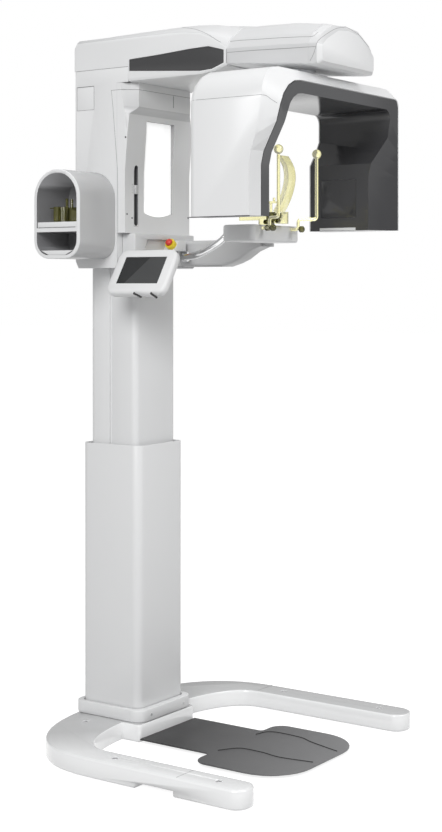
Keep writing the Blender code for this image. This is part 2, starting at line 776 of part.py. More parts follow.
def box_outline(inset):
    """Arched outline of the accessory box as (y, z) points, shrunk by the inset."""
    low, high = BOX_Y[0] + inset, BOX_Y[1] - inset
    bottom, top = BOX_Z[0] + inset, BOX_Z[1] - inset
    bottom_radius = BOX_BOTTOM_RADIUS - inset
    top_radius = (high - low) / 2 - 0.004
    return rounded(
        [
            (low, bottom, bottom_radius),
            (high, bottom, bottom_radius),
            (high, top, top_radius),
            (low, top, top_radius),
        ],
        8,
    )


def accessory_box():
    inner_x = -CABINET_HALF - FIT_GAP
    outer_x = inner_x - BOX_DEPTH
    case = prism("accessory_box", box_outline(0), (outer_x, inner_x), "X", "white_cover")
    bevel(case, 0.003, 2, 60)
    for name, band in (("upper_room", (SHELF[1], 2.0)), ("lower_room", (1.5, SHELF[0]))):
        room_x = (outer_x - 0.01, outer_x + BOX_CAVITY)
        room = prism(name, box_outline(BOX_WALL), room_x, "X")
        keep_inside(room, box(name + "_band", (-1, 0), (-1, 1), band))
        cut(case, room)
    smooth(case, 35)
    tray_x = (outer_x + 0.002, outer_x + 0.002 + TRAY_LENGTH)
    side = BOX_WALL + TRAY_SIDE_GAP
    upper_y = (BOX_Y[0] + side, BOX_Y[1] - side)
    upper_z = (SHELF[1] + FIT_GAP, SHELF[1] + 0.019)
    tray("upper_tray", tray_x, upper_y, upper_z, 0.006)
    low_z = BOX_Z[0] + BOX_WALL + FIT_GAP
    rim_z = low_z + LOWER_TRAY_HEIGHT
    floor_start, floor_end = LOWER_TRAY_FLOOR_Y
    rim_start, rim_end = LOWER_TRAY_RIM_Y
    boat = [(floor_start, low_z), (floor_end, low_z), (rim_end, rim_z), (rim_start, rim_z)]
    lower = prism("lower_tray", boat, tray_x, "X", "white_cover")
    dish = rectangle((tray_x[0] + 0.004, tray_x[1] - 0.004), LOWER_TRAY_DISH_Y, 0.003, 3)
    cut(lower, prism("lower_tray_dish", dish, (low_z + LOWER_TRAY_FLOOR, low_z + 0.03)))
    spare_supports((tray_x[0] + tray_x[1]) / 2, upper_z[1] - 0.006 + FIT_GAP)


def tray(name, x_range, y_range, z_range, depth):
    body = prism(name, rectangle(x_range, y_range, 0.004, 3), z_range, finish="white_cover")
    inside = rectangle(
        (x_range[0] + 0.004, x_range[1] - 0.004), (y_range[0] + 0.004, y_range[1] - 0.004), 0.003, 3
    )
    return cut(body, prism(name + "_dish", inside, (z_range[1] - depth, z_range[1] + 0.02)))


def spare_supports(middle_x, floor):
    """Bite holder and chin cup that stand on the upper tray."""
    holder = prism(
        "spare_bite_holder",
        rectangle((middle_x - 0.050, middle_x - 0.010), (0.012, 0.058), 0.008, 3),
        (floor, floor + 0.006),
        finish="clear_olive",
    )
    for index, (x, y) in enumerate(((-0.030, 0.050), (-0.042, 0.031), (-0.020, 0.020))):
        foot, tip = (middle_x + x, y, floor + 0.003), (middle_x + x, y, floor + 0.056)
        join(holder, cylinder(f"holder_post_{index}", foot, tip, 0.0055, sides=14))
    bar_x, bar_z = middle_x - 0.030, floor + 0.054
    join(holder, cylinder("holder_bar", (bar_x, 0.088, bar_z), (bar_x, 0.022, bar_z), 0.002, sides=8))
    cup = prism(
        "spare_chin_cup",
        rectangle((middle_x - 0.048, middle_x + 0.030), (-0.048, 0.006), 0.014, 4),
        (floor, floor + 0.054),
        finish="clear_olive",
    )
    dish_y, dish_top = -0.021, floor + 0.060
    dish_ends = (middle_x - 0.2, dish_y, dish_top), (middle_x + 0.2, dish_y, dish_top)
    cut(cup, cylinder("cup_dish", *dish_ends, 0.018, sides=24))
    peg_x = middle_x - 0.040
    peg_ends = (peg_x, 0.000, floor + 0.04), (peg_x, 0.000, floor + 0.080)
    join(cup, cylinder("cup_peg", *peg_ends, 0.0045, sides=12))


def tilted(angle):
    """Unit vectors of a face that looks to -X and up: along it upwards, and out of it."""
    turn = math.radians(angle)
    return Vector((math.sin(turn), 0, math.cos(turn))), Vector((-math.cos(turn), 0, math.sin(turn)))


def console():
    low, high = CONSOLE_X
    bottom, top = CABINET_BOTTOM, PANEL_BOTTOM - FIT_GAP
    back = CABINET_FRONT - FIT_GAP
    body = box("console_box", CONSOLE_X, (CONSOLE_FACE, back), (bottom, top), "white_cover")
    bevel(body, 0.004, 2)
    recess = rectangle((low + 0.063, high - 0.095), (bottom + 0.025, top - 0.019), 0.006, 3)
    recess_floor = CONSOLE_FACE + CONSOLE_RECESS
    cut(body, prism("console_recess", recess, (-0.3, recess_floor), "Y"))
    up, out = tilted(STOP_TILT)
    point = Vector(STOP_POINT)
    seat = point - out * 0.010
    high_end, low_end = seat + up * 0.021, seat - up * 0.021
    wedge = [(low_end.x, low_end.z), (high_end.x, high_end.z), (0.078, high_end.z), (0.078, low_end.z)]
    join(body, prism("stop_wedge", wedge, (point.y - 0.020, recess_floor + 0.006), "Y"))
    collar_foot = seat + out * FIT_GAP
    collar_face = collar_foot + out * STOP_COLLAR
    collar = cylinder("estop_collar", collar_foot, collar_face, 0.018, "stop_yellow", 28)
    cut(collar, cylinder("estop_bore", collar_foot - out * 0.01, collar_face + out * 0.01, 0.0085, sides=20))
    stem_back = collar_foot + out * STOP_TRAVEL + out * FIT_GAP
    reach = (collar_face - stem_back).length + STOP_TRAVEL + FIT_GAP
    cap = STOP_CAP_RADIUS
    profile = [
        (0, reach + 0.010),
        (cap * 0.6, reach + 0.009),
        (cap - 0.001, reach + 0.005),
        (cap, reach),
        (0.008, reach),
        (0.008, 0),
        (0, 0),
    ]
    turned("estop_button", profile, stem_back, out, "stop_red", 24)


def monitor_frame():
    """Matrix from the control panel's own axes: X across it, Y up along it, Z out of it."""
    up, out = tilted(MONITOR_TILT)
    across_panel = Vector((0, -1, 0))
    turn = Matrix((across_panel, up, out)).transposed().to_4x4()
    return Matrix.Translation(MONITOR_CENTRE) @ turn


def control_panel():
    place = monitor_frame()
    width, height = MONITOR_SIZE
    outline = rectangle((-width / 2, width / 2), (-height / 2 - 0.003, height / 2 - 0.003), 0.030, 6)
    housing = prism("monitor_housing", outline, (-MONITOR_THICKNESS, 0), finish="white_cover")
    bevel(housing, 0.008, 2, 60)
    screen_width, screen_height = SCREEN_SIZE
    pocket = rectangle((-screen_width / 2, screen_width / 2), (-screen_height / 2, screen_height / 2))
    pocket_cutter = prism("screen_pocket", pocket, (-SCREEN_DEPTH, 0.02))
    boss_face = HINGE_BEHIND - KNUCKLE_RADIUS + 0.004
    boss = box("rear_boss", (-0.040, 0.040), (-0.030, 0.030), (-boss_face, -MONITOR_THICKNESS + 0.004))
    knuckle_start, knuckle_end = (-0.040, 0, -HINGE_BEHIND), (0.040, 0, -HINGE_BEHIND)
    knuckle = cylinder("knuckle", knuckle_start, knuckle_end, KNUCKLE_RADIUS, sides=24)
    bore_start, bore_end = (-0.1, 0, -HINGE_BEHIND), (0.1, 0, -HINGE_BEHIND)
    bore = cylinder("knuckle_bore", bore_start, bore_end, PIN_RADIUS + FIT_GAP, sides=24)
    glass_x = (-screen_width / 2 + FIT_GAP, screen_width / 2 - FIT_GAP)
    glass_y = (-screen_height / 2 + FIT_GAP, screen_height / 2 - FIT_GAP)
    glass_z = (-SCREEN_DEPTH + FIT_GAP, -0.0005)
    screen = prism("monitor_screen", rectangle(glass_x, glass_y), glass_z, finish="gloss_black")
    for obj in (housing, pocket_cutter, boss, knuckle, bore, screen):
        obj.data.transform(place)
    cut(housing, pocket_cutter)
    join(housing, boss, knuckle)
    cut(housing, bore)
    smooth(housing, 35)
    axis_point = place @ Vector((0, 0, -HINGE_BEHIND))
    lug_y = (CONSOLE_FACE - FIT_GAP, CONSOLE_FACE - 0.038)
    top = Vector((CONSOLE_X[0] + 0.018, CABINET_BOTTOM + 0.025))
    bottom = Vector((axis_point.x, axis_point.z))
    lug = prism("monitor_bracket", capsule(top, bottom, 0.014), (lug_y[1], lug_y[0]), "Y", "white_cover")
    pin_root = (axis_point.x, lug_y[1] + 0.01, axis_point.z)
    pin_end = (axis_point.x, MONITOR_CENTRE[1] - 0.045, axis_point.z)
    join(lug, cylinder("hinge_pin", pin_root, pin_end, PIN_RADIUS, sides=24))
    return axis_point


def capsule(first, second, radius, steps=8):
    """Round-ended bar between two points, as an outline."""
    direction = (second - first).normalized()
    side = Vector((-direction.y, direction.x))
    points = []
    for centre, forward in ((second, direction), (first, -direction)):
        left = side if forward == direction else -side
        for step in range(steps + 1):
            angle = math.pi * step / steps
            points.append(tuple(centre + (left * math.cos(angle) + forward * math.sin(angle)) * radius))
    return points


def chin_arm():
    table_rear = TABLE_Y[1] + FIT_GAP
    stations = (
        (CONSOLE_FACE - FIT_GAP, 0.100, 0.1795, 1.566, 1.655),
        (-0.300, 0.095, 0.178, 1.566, 1.655),
        (-0.340, 0.092, 0.176, 1.577, 1.657),
        (-0.373, 0.090, 0.173, 1.590, 1.662),
        (-0.413, 0.087, 0.171, 1.615, 1.672),
        (table_rear, 0.085, 0.170, 1.633, 1.685),
    )
    rows = []
    for y, low, high, bottom, top in stations:
        section = rectangle((low, high), (bottom, top), 0.014, 4)
        rows.append([(x, y, z) for x, z in section])
    arm = loft("chin_arm", rows, "white_cover")
    tongue_z = (TABLE_Z[0] - 0.0105, TABLE_Z[0] - FIT_GAP)
    join(arm, box("arm_tongue", (0.100, 0.150), (-0.475, -0.450), tongue_z))
    smooth(arm, 35)
    table_plan = rectangle((-TABLE_HALF, TABLE_HALF), TABLE_Y, 0.020, 5)
    table = prism("chin_table", table_plan, TABLE_Z, finish="white_cover")
    bevel(table, 0.008, 3, 60)
    smooth(table, 35)
    arm_face, root_y, root_z = HANDLE_ROOT
    points = (
        HANDLE_ROOT,
        (0.070, -0.160, 1.601),
        (0.040, -0.180, 1.600),
        (-0.030, -0.250, 1.597),
        (-0.085, -0.340, 1.605),
        (-0.104, -0.420, 1.634),
        (-0.107, table_rear, 1.661),
    )
    handle = rail("grab_handle", curve_through(points), HANDLE_RADIUS, "chrome", 3)
    arm_trim = box("handle_end", (arm_face - 0.008, 0.2), (-0.2, -0.1), (1.5, 1.7))
    cut(handle, arm_trim)
    rosette_ends = (arm_face - 0.012, root_y, root_z), (arm_face - 0.0075, root_y, root_z)
    join(handle, cylinder("handle_rosette", *rosette_ends, ROSETTE_RADIUS, sides=28))
    cut(handle, box("handle_front_end", (-0.2, 0), (-0.6, table_rear), (1.6, 1.7)))


def chin_rest():
    table_top = TABLE_Z[1] + FIT_GAP
    low, high = CHIN_BAR_Z
    bar = prism("chin_rest", rectangle(CHIN_BAR_X, CHIN_BAR_Y, 0.008, 4), CHIN_BAR_Z, finish="clear_yellow")
    post_ends = (0, CHIN_POST_Y, table_top), (0, CHIN_POST_Y, low + 0.004)
    join(bar, cylinder("chin_post", *post_ends, CHIN_POST_RADIUS, sides=24))
    cup = prism("chin_cup", rectangle(CHIN_CUP_X, CHIN_CUP_Y, 0.010, 4), (CHIN_CUP_FOOT, CHIN_CUP_TOP))
    join(bar, cup)
    hollow = cylinder("cup_hollow", (0, -0.7, 1.757), (0, -0.5, 1.757), 0.027, sides=28)
    cut(bar, hollow)
    smooth(bar, 35)
    bite_foot = high + FIT_GAP
    bite = cylinder("bite_piece", (0, -0.560, bite_foot), (0, -0.560, 1.772), 0.005, "clear_yellow", 16)
    join(bite, prism("bite_plate", rectangle((-0.017, 0.017), (-0.580, -0.553), 0.007, 4), (1.766, 1.772)))
    join(bite, cylinder("bite_tip", (0, -0.572, 1.770), (0, -0.572, 1.784), 0.004, sides=12))


def forehead_blade():
    bow = ((-0.600, 1.758), (-0.618, 1.795), (-0.629, 1.840), (-0.624, 1.880), (-0.602, 1.917))
    profile = (BLADE_FOOT, *bow)
    line = [Vector(point).to_3d() for point in profile]
    path = [Vector((point.x, point.y)) for point in curve_through(line, 3)]
    outer, inner = [], []
    for index, point in enumerate(path):
        before, after = path[max(index - 1, 0)], path[min(index + 1, len(path) - 1)]
        direction = (after - before).normalized()
        normal = Vector((-direction.y, direction.x))
        outer.append(tuple(point + normal * 0.002))
        inner.append(tuple(point - normal * 0.002))
    blade = prism("forehead_blade", outer + inner[::-1], BLADE_X, "X", "clear_yellow")
    return smooth(blade, 35)


def temple_supports():
    table_front = TABLE_Y[0] - FIT_GAP
    knob_back = -0.610 - TEMPLE_ROD_RADIUS - FIT_GAP
    for side, word in ((-1, "left"), (1, "right")):
        hinge_x = side * ROD_HINGE_X
        temple_x = side * TEMPLE_X
        path = bent(
            [
                ((hinge_x, table_front, ROD_HINGE_Z), 0),
                ((hinge_x, -0.610, ROD_HINGE_Z), 0.008),
                ((hinge_x, -0.610, ROD_HINGE_Z + 0.032), 0.010),
                ((temple_x, TEMPLE_Y, ROD_HINGE_Z + 0.032), 0.010),
                ((temple_x, TEMPLE_Y, TEMPLE_TOP), 0),
            ],
            4,
        )
        rail("temple_rod_" + word, path, TEMPLE_ROD_RADIUS, "clear_yellow", 2)
        centre = Vector((temple_x, TEMPLE_Y, TEMPLE_TOP + TEMPLE_BALL + FIT_GAP))
        bm = bmesh.new()
        bmesh.ops.create_uvsphere(
            bm, u_segments=16, v_segments=9, radius=TEMPLE_BALL, matrix=Matrix.Translation(centre)
        )
        smooth(make("temple_pad_" + word, bm, "clear_yellow"), 60)
        profile = [(0, 0.0155), (0.007, 0.0155), (0.0105, 0.012), (0.0105, 0.003), (0.0085, 0), (0, 0)]
        knob_root = (hinge_x, knob_back, ROD_HINGE_Z)
        turned("temple_knob_" + word, profile, knob_root, (0, -1, 0), "clear_olive", 20)


def arm_section(y, inset, bottom, crease, shoulder, roof, top):
    """Closed section of the arm at one y, as points from the middle of its floor round.

    The side, the shoulder and the roof's edge are given by how far in they lie from ARM_HALF.
    """
    half = ARM_HALF - inset
    corners = [
        (0, bottom, 0),
        (half, bottom, 0.010),
        (half, crease, 0.012),
        (ARM_HALF - shoulder[0], shoulder[1], 0.030),
        (ARM_HALF - roof[0], roof[1], 0.040),
        (0, top, 0),
    ]
    half_outline = rounded(corners, 2)
    return [(x, y, z) for x, z in mirrored(half_outline)]


def arm_shells():
    rear_stations = (
        (ARM_REAR, 0.0015, 2.1703, 2.300, (0.018, 2.316), (0.08, 2.330), 2.334),
        (ARM_REAR - 0.010, 0, 2.1703, 2.313, (0.015, 2.324), (0.08, 2.336), 2.341),
        (-0.100, 0, 2.1703, 2.3145, (0.015, 2.325), (0.08, 2.342), 2.347),
        (-0.290, 0, 2.1703, 2.3145, (0.015, 2.325), (0.08, 2.345), 2.350),
        (-0.350, 0, 2.1703, 2.311, (0.015, 2.322), (0.08, 2.344), 2.350),
        (-0.409, 0, 2.1703, 2.303, (0.016, 2.316), (0.082, 2.340), 2.348),
        (-0.459, 0, 2.1760, 2.283, (0.018, 2.300), (0.085, 2.332), 2.344),
        (ARM_JOINT - TRIM_REACH, 0, 2.1945, 2.247, (0.022, 2.278), (0.088, 2.321), 2.3378),
    )
    rows = [arm_section(*station) for station in rear_stations]
    outside = ((-ARM_HALF, -0.2, 2.25), (-1, 0, 0))
    shell = sheet("arm_shell", rows, ARM_WALL, "white_cover", closed=True, caps=(0,), outside=outside)
    neck = (CABINET_NECK_FRONT - FIT_GAP, 1)
    cut(shell, box("cabinet_seat", (-1, 1), neck, (2.0, CABINET_TOP + FIT_GAP)))
    cut(shell, box("arm_shell_trim", (-1, 1), (-1, ARM_JOINT), (2, 3)))
    outline = insert_outline(0)
    insert_face = ARM_HALF - INSERT_RECESS
    for side, word in ((-1, "left"), (1, "right")):
        through = sorted((side * (ARM_HALF - 0.02), side * (ARM_HALF + 0.02)))
        cut(shell, prism("insert_opening_" + word, outline, through, "X"))
        plate_x = sorted((side * (insert_face - INSERT_THICKNESS), side * insert_face))
        prism("arm_insert_" + word, insert_outline(FIT_GAP), plate_x, "X", "dark_insert")
    front_stations = (
        (ARM_JOINT + TRIM_REACH, 0.0015, 2.1965, 2.245, (0.024, 2.278), (0.089, 2.321), 2.3375),
        (-0.596, 0.002, 2.1900, 2.243, (0.024, 2.277), (0.089, 2.321), 2.335),
        (-0.706, 0.003, 2.1810, 2.240, (0.025, 2.276), (0.09, 2.319), 2.326),
        (ARM_NOSE_JOINT - TRIM_REACH, 0.005, 2.1722, 2.236, (0.028, 2.272), (0.094, 2.307), 2.312),
    )
    rows = [arm_section(*station) for station in front_stations]
    outside = ((-ARM_HALF, -0.65, 2.22), (-1, 0, 0))
    front = sheet("arm_front_shell", rows, ARM_WALL, "white_cover", closed=True, outside=outside)
    hole = cylinder("hub_hole", (0, GANTRY_AXIS_Y, 2.1), (0, GANTRY_AXIS_Y, 2.2), HUB_HOLE_RADIUS, sides=36)
    cut(front, hole)
    cut(front, box("front_rear_trim", (-1, 1), (ARM_JOINT - FIT_GAP, 1), (2, 3)))
    cut(front, box("front_nose_trim", (-1, 1), (-1, ARM_NOSE_JOINT), (2, 3)))
    nose_stations = (
        (ARM_NOSE_JOINT + TRIM_REACH, 0.005, 2.1725, 2.236, (0.028, 2.272), (0.094, 2.307), 2.312),
        (-0.836, 0.008, 2.1725, 2.236, (0.035, 2.267), (0.105, 2.302), 2.308),
        (ARM_NOSE, 0.022, 2.1820, 2.231, (0.05, 2.253), (0.118, 2.286), 2.292),
    )
    rows = [arm_section(*station) for station in nose_stations]
    outside = ((0, ARM_NOSE - 0.01, 2.24), (0, -1, 0))
    nose = sheet("arm_nose_cap", rows, ARM_WALL, "white_cover", closed=True, caps=(-1,), outside=outside)
    cut(nose, box("nose_trim", (-1, 1), (ARM_NOSE_JOINT - FIT_GAP, 1), (2, 3)))


def insert_outline(gap):
    """Long dark insert of the arm's side as (y, z) points, shrunk by the gap."""
    return [
        (-0.123 - gap, 2.243 - gap),
        (-0.123 - gap, 2.205 + gap),
        (-0.209, 2.198 + gap),
        (-0.409, 2.183 + gap),
        (-0.455, 2.186 + gap),
        (-0.500 + gap, 2.202 + gap),
        (-0.500 + gap, 2.243 - gap),
        (-0.440, 2.259 - gap * 1.1),
        (-0.370, 2.257 - gap * 1.1),
        (-0.250, 2.249 - gap),
    ]


def arm_drive():
    rear = CABINET_REAR - CABINET_CHAMFER[0] - CABINET_WALL
    spine_z = (CABINET_BOTTOM + CABINET_WALL + FIT_GAP, BEAM_Z[0] - FIT_GAP)
    spine = box("spine_frame", (-0.080, 0.080), (-0.060, rear), spine_z, "aluminium")
    for index, z in enumerate((1.66, 1.81, 1.96, 2.11)):
        window = rectangle((-0.055, 0.055), (z - 0.055, z + 0.055), 0.012, 3)
        cut(spine, prism(f"spine_window_{index}", window, (-0.2, 0.2), "Y"))
    beam = box("arm_beam", (-0.060, 0.060), (GANTRY_AXIS_Y - 0.100, rear), BEAM_Z, "aluminium")
    bevel(beam, 0.004, 1)
    seat = BEAM_Z[0] - FIT_GAP
    drive_low, drive_high = DRIVE_Z
    axis = (0, GANTRY_AXIS_Y)
    bearing_low = drive_high + 0.003
    bearing = cylinder("slew_ring", (*axis, bearing_low), (*axis, seat), 0.085, "steel", 40)
    cut(bearing, cylinder("slew_bore", (*axis, 2.0), (*axis, 2.3), NECK_RADIUS + FIT_GAP, sides=40))
    motor_foot = drive_high + 0.0027
    cylinder("rotation_motor", (0, MOTOR_Y, motor_foot), (0, MOTOR_Y, seat), 0.040, "aluminium", 32)
    pulley_radius = GANTRY_PULLEY_RADIUS / PULLEY_RATIO
    pulley_ends = (0, MOTOR_Y, drive_low), (0, MOTOR_Y, drive_high)
    pulley = cylinder("motor_pulley", *pulley_ends, pulley_radius, "aluminium", 28)
    shaft_ends = (0, MOTOR_Y, drive_low + 0.004), (0, MOTOR_Y, motor_foot - FIT_GAP)
    join(pulley, cylinder("motor_shaft", *shaft_ends, MOTOR_SHAFT_RADIUS, sides=16))
    belt_low, belt_high = drive_low + 0.001, drive_high - 0.001
    inner = belt_outline(pulley_radius + FIT_GAP * 2)
    outer = belt_outline(pulley_radius + FIT_GAP * 2 + BELT_THICKNESS)
    belt = prism("drive_belt", outer, (belt_low, belt_high), finish="belt_rubber")
    cut(belt, prism("belt_inside", inner, (belt_low - 0.01, belt_high + 0.01)))


def belt_outline(small):
    """Belt path round the two pulleys; the larger one grows with the smaller."""
    large = GANTRY_PULLEY_RADIUS - GANTRY_PULLEY_RADIUS / PULLEY_RATIO + small
    distance = MOTOR_Y - GANTRY_AXIS_Y
    lean = math.asin((large - small) / distance)
    points = []
    for step in range(25):
        angle = math.pi - lean + (math.pi + 2 * lean) * step / 24
        points.append((large * math.cos(angle), GANTRY_AXIS_Y + large * math.sin(angle)))
    for step in range(13):
        angle = lean + (math.pi - 2 * lean) * step / 12
        points.append((small * math.cos(angle), MOTOR_Y + small * math.sin(angle)))
    return points


def smoothstep(value):
    value = min(max(value, 0.0), 1.0)
    return value * value * (3 - 2 * value)


def arch_line(left_x, left_arc, top, right_arc, right_xs, bottoms):
    """Line up the left leg, over the top and down the right leg, as (x, z) points.

    An arc is its radius; the legs share their heights, so that several lines pair up.
    """
    points = [(left_x, z) for z in (bottoms[0], *LEFT_HEIGHTS)]
    left = (left_x + left_arc, top - left_arc, left_arc, math.pi)
    right = (right_xs[0] - right_arc, top - right_arc, right_arc, math.pi / 2)
    for centre_x, centre_z, radius, start in (left, right):
        for step in range(ARC_STEPS + 1):
            angle = start - math.pi / 2 * step / ARC_STEPS
            points.append((centre_x + radius * math.cos(angle), centre_z + radius * math.sin(angle)))
    points += list(zip(right_xs, (*RIGHT_HEIGHTS, bottoms[1])))
    return points


def gantry_lines():
    bottoms = (GANTRY_BOTTOM_LEFT, GANTRY_BOTTOM_RIGHT)
    inner, half, top, ceiling = GANTRY_INNER, GANTRY_HALF, GANTRY_TOP, GANTRY_CEILING
    straight = (half,) * 6
    return {
        "outer": arch_line(-half, 0.105, top, 0.030, straight, bottoms),
        "ring_edge": arch_line(0.055 - half, 0.120, top - 0.035, 0.025, (half - 0.003,) * 6, bottoms),
        "ring_seat": arch_line(0.0585 - half, 0.1165, top - 0.0385, 0.0205, (half - 0.0098,) * 6, bottoms),
        "inner_front": arch_line(-inner, 0.085, ceiling, 0.030, (0.337, 0.318, *(inner,) * 4), bottoms),
        "inner_rear": arch_line(-inner, 0.085, ceiling, 0.030, (0.360, 0.332, *(inner,) * 4), bottoms),
    }


def past_left_leg(index):
    """0 on the left leg, growing to 1 over the arc at its top."""
    return smoothstep((index - len(LEFT_HEIGHTS)) / (ARC_STEPS + 1))


def gantry_depths(inner_line):
    """For each place on the lines: y of the side's front edge, ring edge and opening edge."""
    depths = []
    last_left = len(LEFT_HEIGHTS)
    first_right = len(inner_line) - len(RIGHT_HEIGHTS) - 1
    for index, (x, z) in enumerate(inner_line):
        low = smoothstep((2.030 - z) / (2.030 - 1.860))
        if index <= last_left:
            ring = GANTRY_RING_FRONT + 0.065 * low
            depths.append((-0.788 + 0.046 * low, ring, ring))
        elif index >= first_right:
            depths.append((-0.780, -0.8095, GANTRY_RING_FRONT + 0.0035 + 0.0615 * low))
        else:
            over = smoothstep((index - last_left) / (first_right - last_left))
            ring = GANTRY_RING_FRONT + 0.0035 * over + 0.065 * low
            depths.append((-0.788 + 0.012 * past_left_leg(index) + 0.046 * low, ring, ring))
    return depths


def gantry_shell():
    lines = gantry_lines()
    depths = gantry_depths(lines["inner_front"])
    first_right = len(depths) - len(RIGHT_HEIGHTS) - 1
    rows = []
    for index, (side_y, ring_y, _) in enumerate(depths):
        outer = Vector(lines["outer"][index])
        inner = Vector(lines["inner_rear"][index])
        edge = lines["ring_edge"][index]
        inward = (inner - outer).normalized()
        radius = 0.022 + 0.013 * past_left_leg(index)
        row = [(inner.x, GANTRY_REAR, inner.y)]
        for step in range(5):
            angle = math.pi / 2 * step / 4
            place = outer + inward * radius * (1 - math.sin(angle))
            row.append((place.x, GANTRY_REAR - radius * (1 - math.cos(angle)), place.y))
        row.append((outer.x, side_y, outer.y))
        row.append((edge[0], ring_y, edge[1]))
        rows.append(row)
    outside = ((-GANTRY_HALF, -0.65, 1.9), (-1, 0, 0))
    return sheet("gantry_shell", rows, GANTRY_WALL, "white_cover", outside=outside)


def gantry_liner():
    lines = gantry_lines()
    depths = gantry_depths(lines["inner_front"])
    rear = GANTRY_REAR - GANTRY_WALL - FIT_GAP
    rows = []
    for index, (_, ring_y, opening_y) in enumerate(depths):
        inner_rear = lines["inner_rear"][index]
        inner_front = lines["inner_front"][index]
        seat = lines["ring_seat"][index]
        rows.append(
            [
                (inner_rear[0], rear, inner_rear[1]),
                (inner_front[0], opening_y, inner_front[1]),
                (seat[0], ring_y, seat[1]),
            ]
        )
    outside = ((-GANTRY_INNER, -0.65, 1.9), (1, 0, 0))
    liner = sheet("gantry_liner", rows, LINER_WALL, "dark_liner", outside=outside)
    window = rectangle(WINDOW_Y, WINDOW_Z, 0.004, 3)
    return cut(liner, prism("window_opening", window, (0.25, 0.32), "X"))


def gantry_insides():
    gap = FIT_GAP
    rear = GANTRY_REAR - GANTRY_WALL - gap
    wall_in = GANTRY_INNER + LINER_WALL + gap
    wall_out = GANTRY_HALF - GANTRY_WALL - gap
    front = -0.7375
    left_corners = [(-wall_in, rear, 0), (-wall_in, front, 0), (-wall_out, front, 0), (-wall_out, rear, 0.022)]
    left = rounded(left_corners, 4)
    left_z = (GANTRY_BOTTOM_LEFT + gap, GANTRY_BOTTOM_LEFT + 0.0043)
    prism("left_unit_floor", left, left_z, finish="white_cover")
    front_in, front_out = -0.738, -0.790
    right_corners = [
        (wall_in, rear, 0), (wall_in, front_in, 0), (wall_out - 0.003, front_out, 0), (wall_out, rear, 0.035)
    ]
    right = rounded(right_corners, 4)
    right_z = (GANTRY_BOTTOM_RIGHT + gap, GANTRY_BOTTOM_RIGHT + 0.0043)
    prism("right_unit_floor", right, right_z, finish="white_cover")
    window_y = (WINDOW_Y[0] + gap, WINDOW_Y[1] - gap)
    window_z = (WINDOW_Z[0] + gap, WINDOW_Z[1] - gap)
    prism("sensor_window", rectangle(window_y, window_z, 0.0037, 3), (0.3005, 0.3027), "X", "gloss_black")
    detector = box("detector_panel", (0.306, 0.330), (-0.710, -0.560), (right_z[1] + gap, 1.870), "aluminium")
    bevel(detector, 0.003, 1)
    tube_floor = left_z[1] + gap
    tube_x = (-GANTRY_HALF + 0.015, -GANTRY_INNER - 0.015)
    tube = box("xray_tube", tube_x, (-0.705, -0.545), (tube_floor, 1.950), "aluminium")
    bevel(tube, 0.006, 2)
    collimator_x = (tube_x[1] + gap, -wall_in - gap)
    box("collimator", collimator_x, (-0.660, -0.590), (1.750, 1.850), "steel")
    beam_top = GANTRY_TOP - GANTRY_WALL - gap
    beam_half = GANTRY_INNER - 0.050
    beam_z = (GANTRY_CEILING + 0.010, beam_top)
    beam = box("gantry_beam", (-beam_half, beam_half), (-0.740, -0.575), beam_z, "aluminium")
    bevel(beam, 0.004, 1)
    drive_low, drive_high = DRIVE_Z
    foot = GANTRY_TOP + gap
    top = BEAM_Z[0] - 0.003
    profile = [
        (0, top),
        (NECK_RADIUS, top),
        (NECK_RADIUS, drive_high),
        (GANTRY_PULLEY_RADIUS, drive_high),
        (GANTRY_PULLEY_RADIUS, drive_low),
        (NECK_RADIUS, drive_low),
        (NECK_RADIUS, foot + 0.0077),
        (0.090, foot + 0.0077),
        (0.090, foot),
        (0, foot),
    ]
    turned("gantry_hub", profile, (0, GANTRY_AXIS_Y, 0), (0, 0, 1), "aluminium", 32)


BODIES = {
    "column_lift_axis": ((0, 0, CABINET_BOTTOM), (
        "upper_column", "lift_rod", "cabinet_shell", "access_cover", "cabinet_front_panel", "mirror",
        "spine_frame", "arm_beam", "accessory_box", "console_box", "estop_collar", "monitor_bracket",
        "chin_arm", "chin_table", "grab_handle", "chin_rest", "bite_piece", "arm_shell",
        "arm_front_shell", "arm_nose_cap", "arm_insert_left", "arm_insert_right", "slew_ring",
        "rotation_motor", "drive_belt")),
    "gantry_axis": ((0, GANTRY_AXIS_Y, GANTRY_TOP), (
        "gantry_shell", "gantry_liner", "left_unit_floor", "right_unit_floor", "sensor_window",
        "detector_panel", "xray_tube", "collimator", "gantry_beam", "gantry_hub")),
    "motor_pulley_axis": ((0, MOTOR_Y, DRIVE_Z[0]), ("motor_pulley",)),
    "estop_axis": (STOP_POINT, ("estop_button",)),
    "upper_tray_axis": ((-0.36, 0, SHELF[1]), ("upper_tray", "spare_bite_holder", "spare_chin_cup")),
    "lower_tray_axis": ((-0.36, 0, BOX_Z[0] + BOX_WALL), ("lower_tray",)),
    "laser_axis": ((SLOT_X, SLOT_FLOOR, 1.82), ("laser_knob",)),
    "forehead_axis": ((0, *BLADE_FOOT), ("forehead_blade",)),
    "temple_left_axis": ((-ROD_HINGE_X, TABLE_Y[0], ROD_HINGE_Z), ("temple_rod_left", "temple_pad_left")),
    "temple_right_axis": ((ROD_HINGE_X, TABLE_Y[0], ROD_HINGE_Z), ("temple_rod_right", "temple_pad_right")),
    "knob_left_axis": ((-ROD_HINGE_X, -0.616, ROD_HINGE_Z), ("temple_knob_left",)),
    "knob_right_axis": ((ROD_HINGE_X, -0.616, ROD_HINGE_Z), ("temple_knob_right",)),
}


def tools_of(obj):
    """Cutters that an object uses, and the ones that those use."""
    found = []
    for modifier in obj.modifiers:
        if modifier.type == "BOOLEAN":
            found += [modifier.object, *tools_of(modifier.object)]
    return found


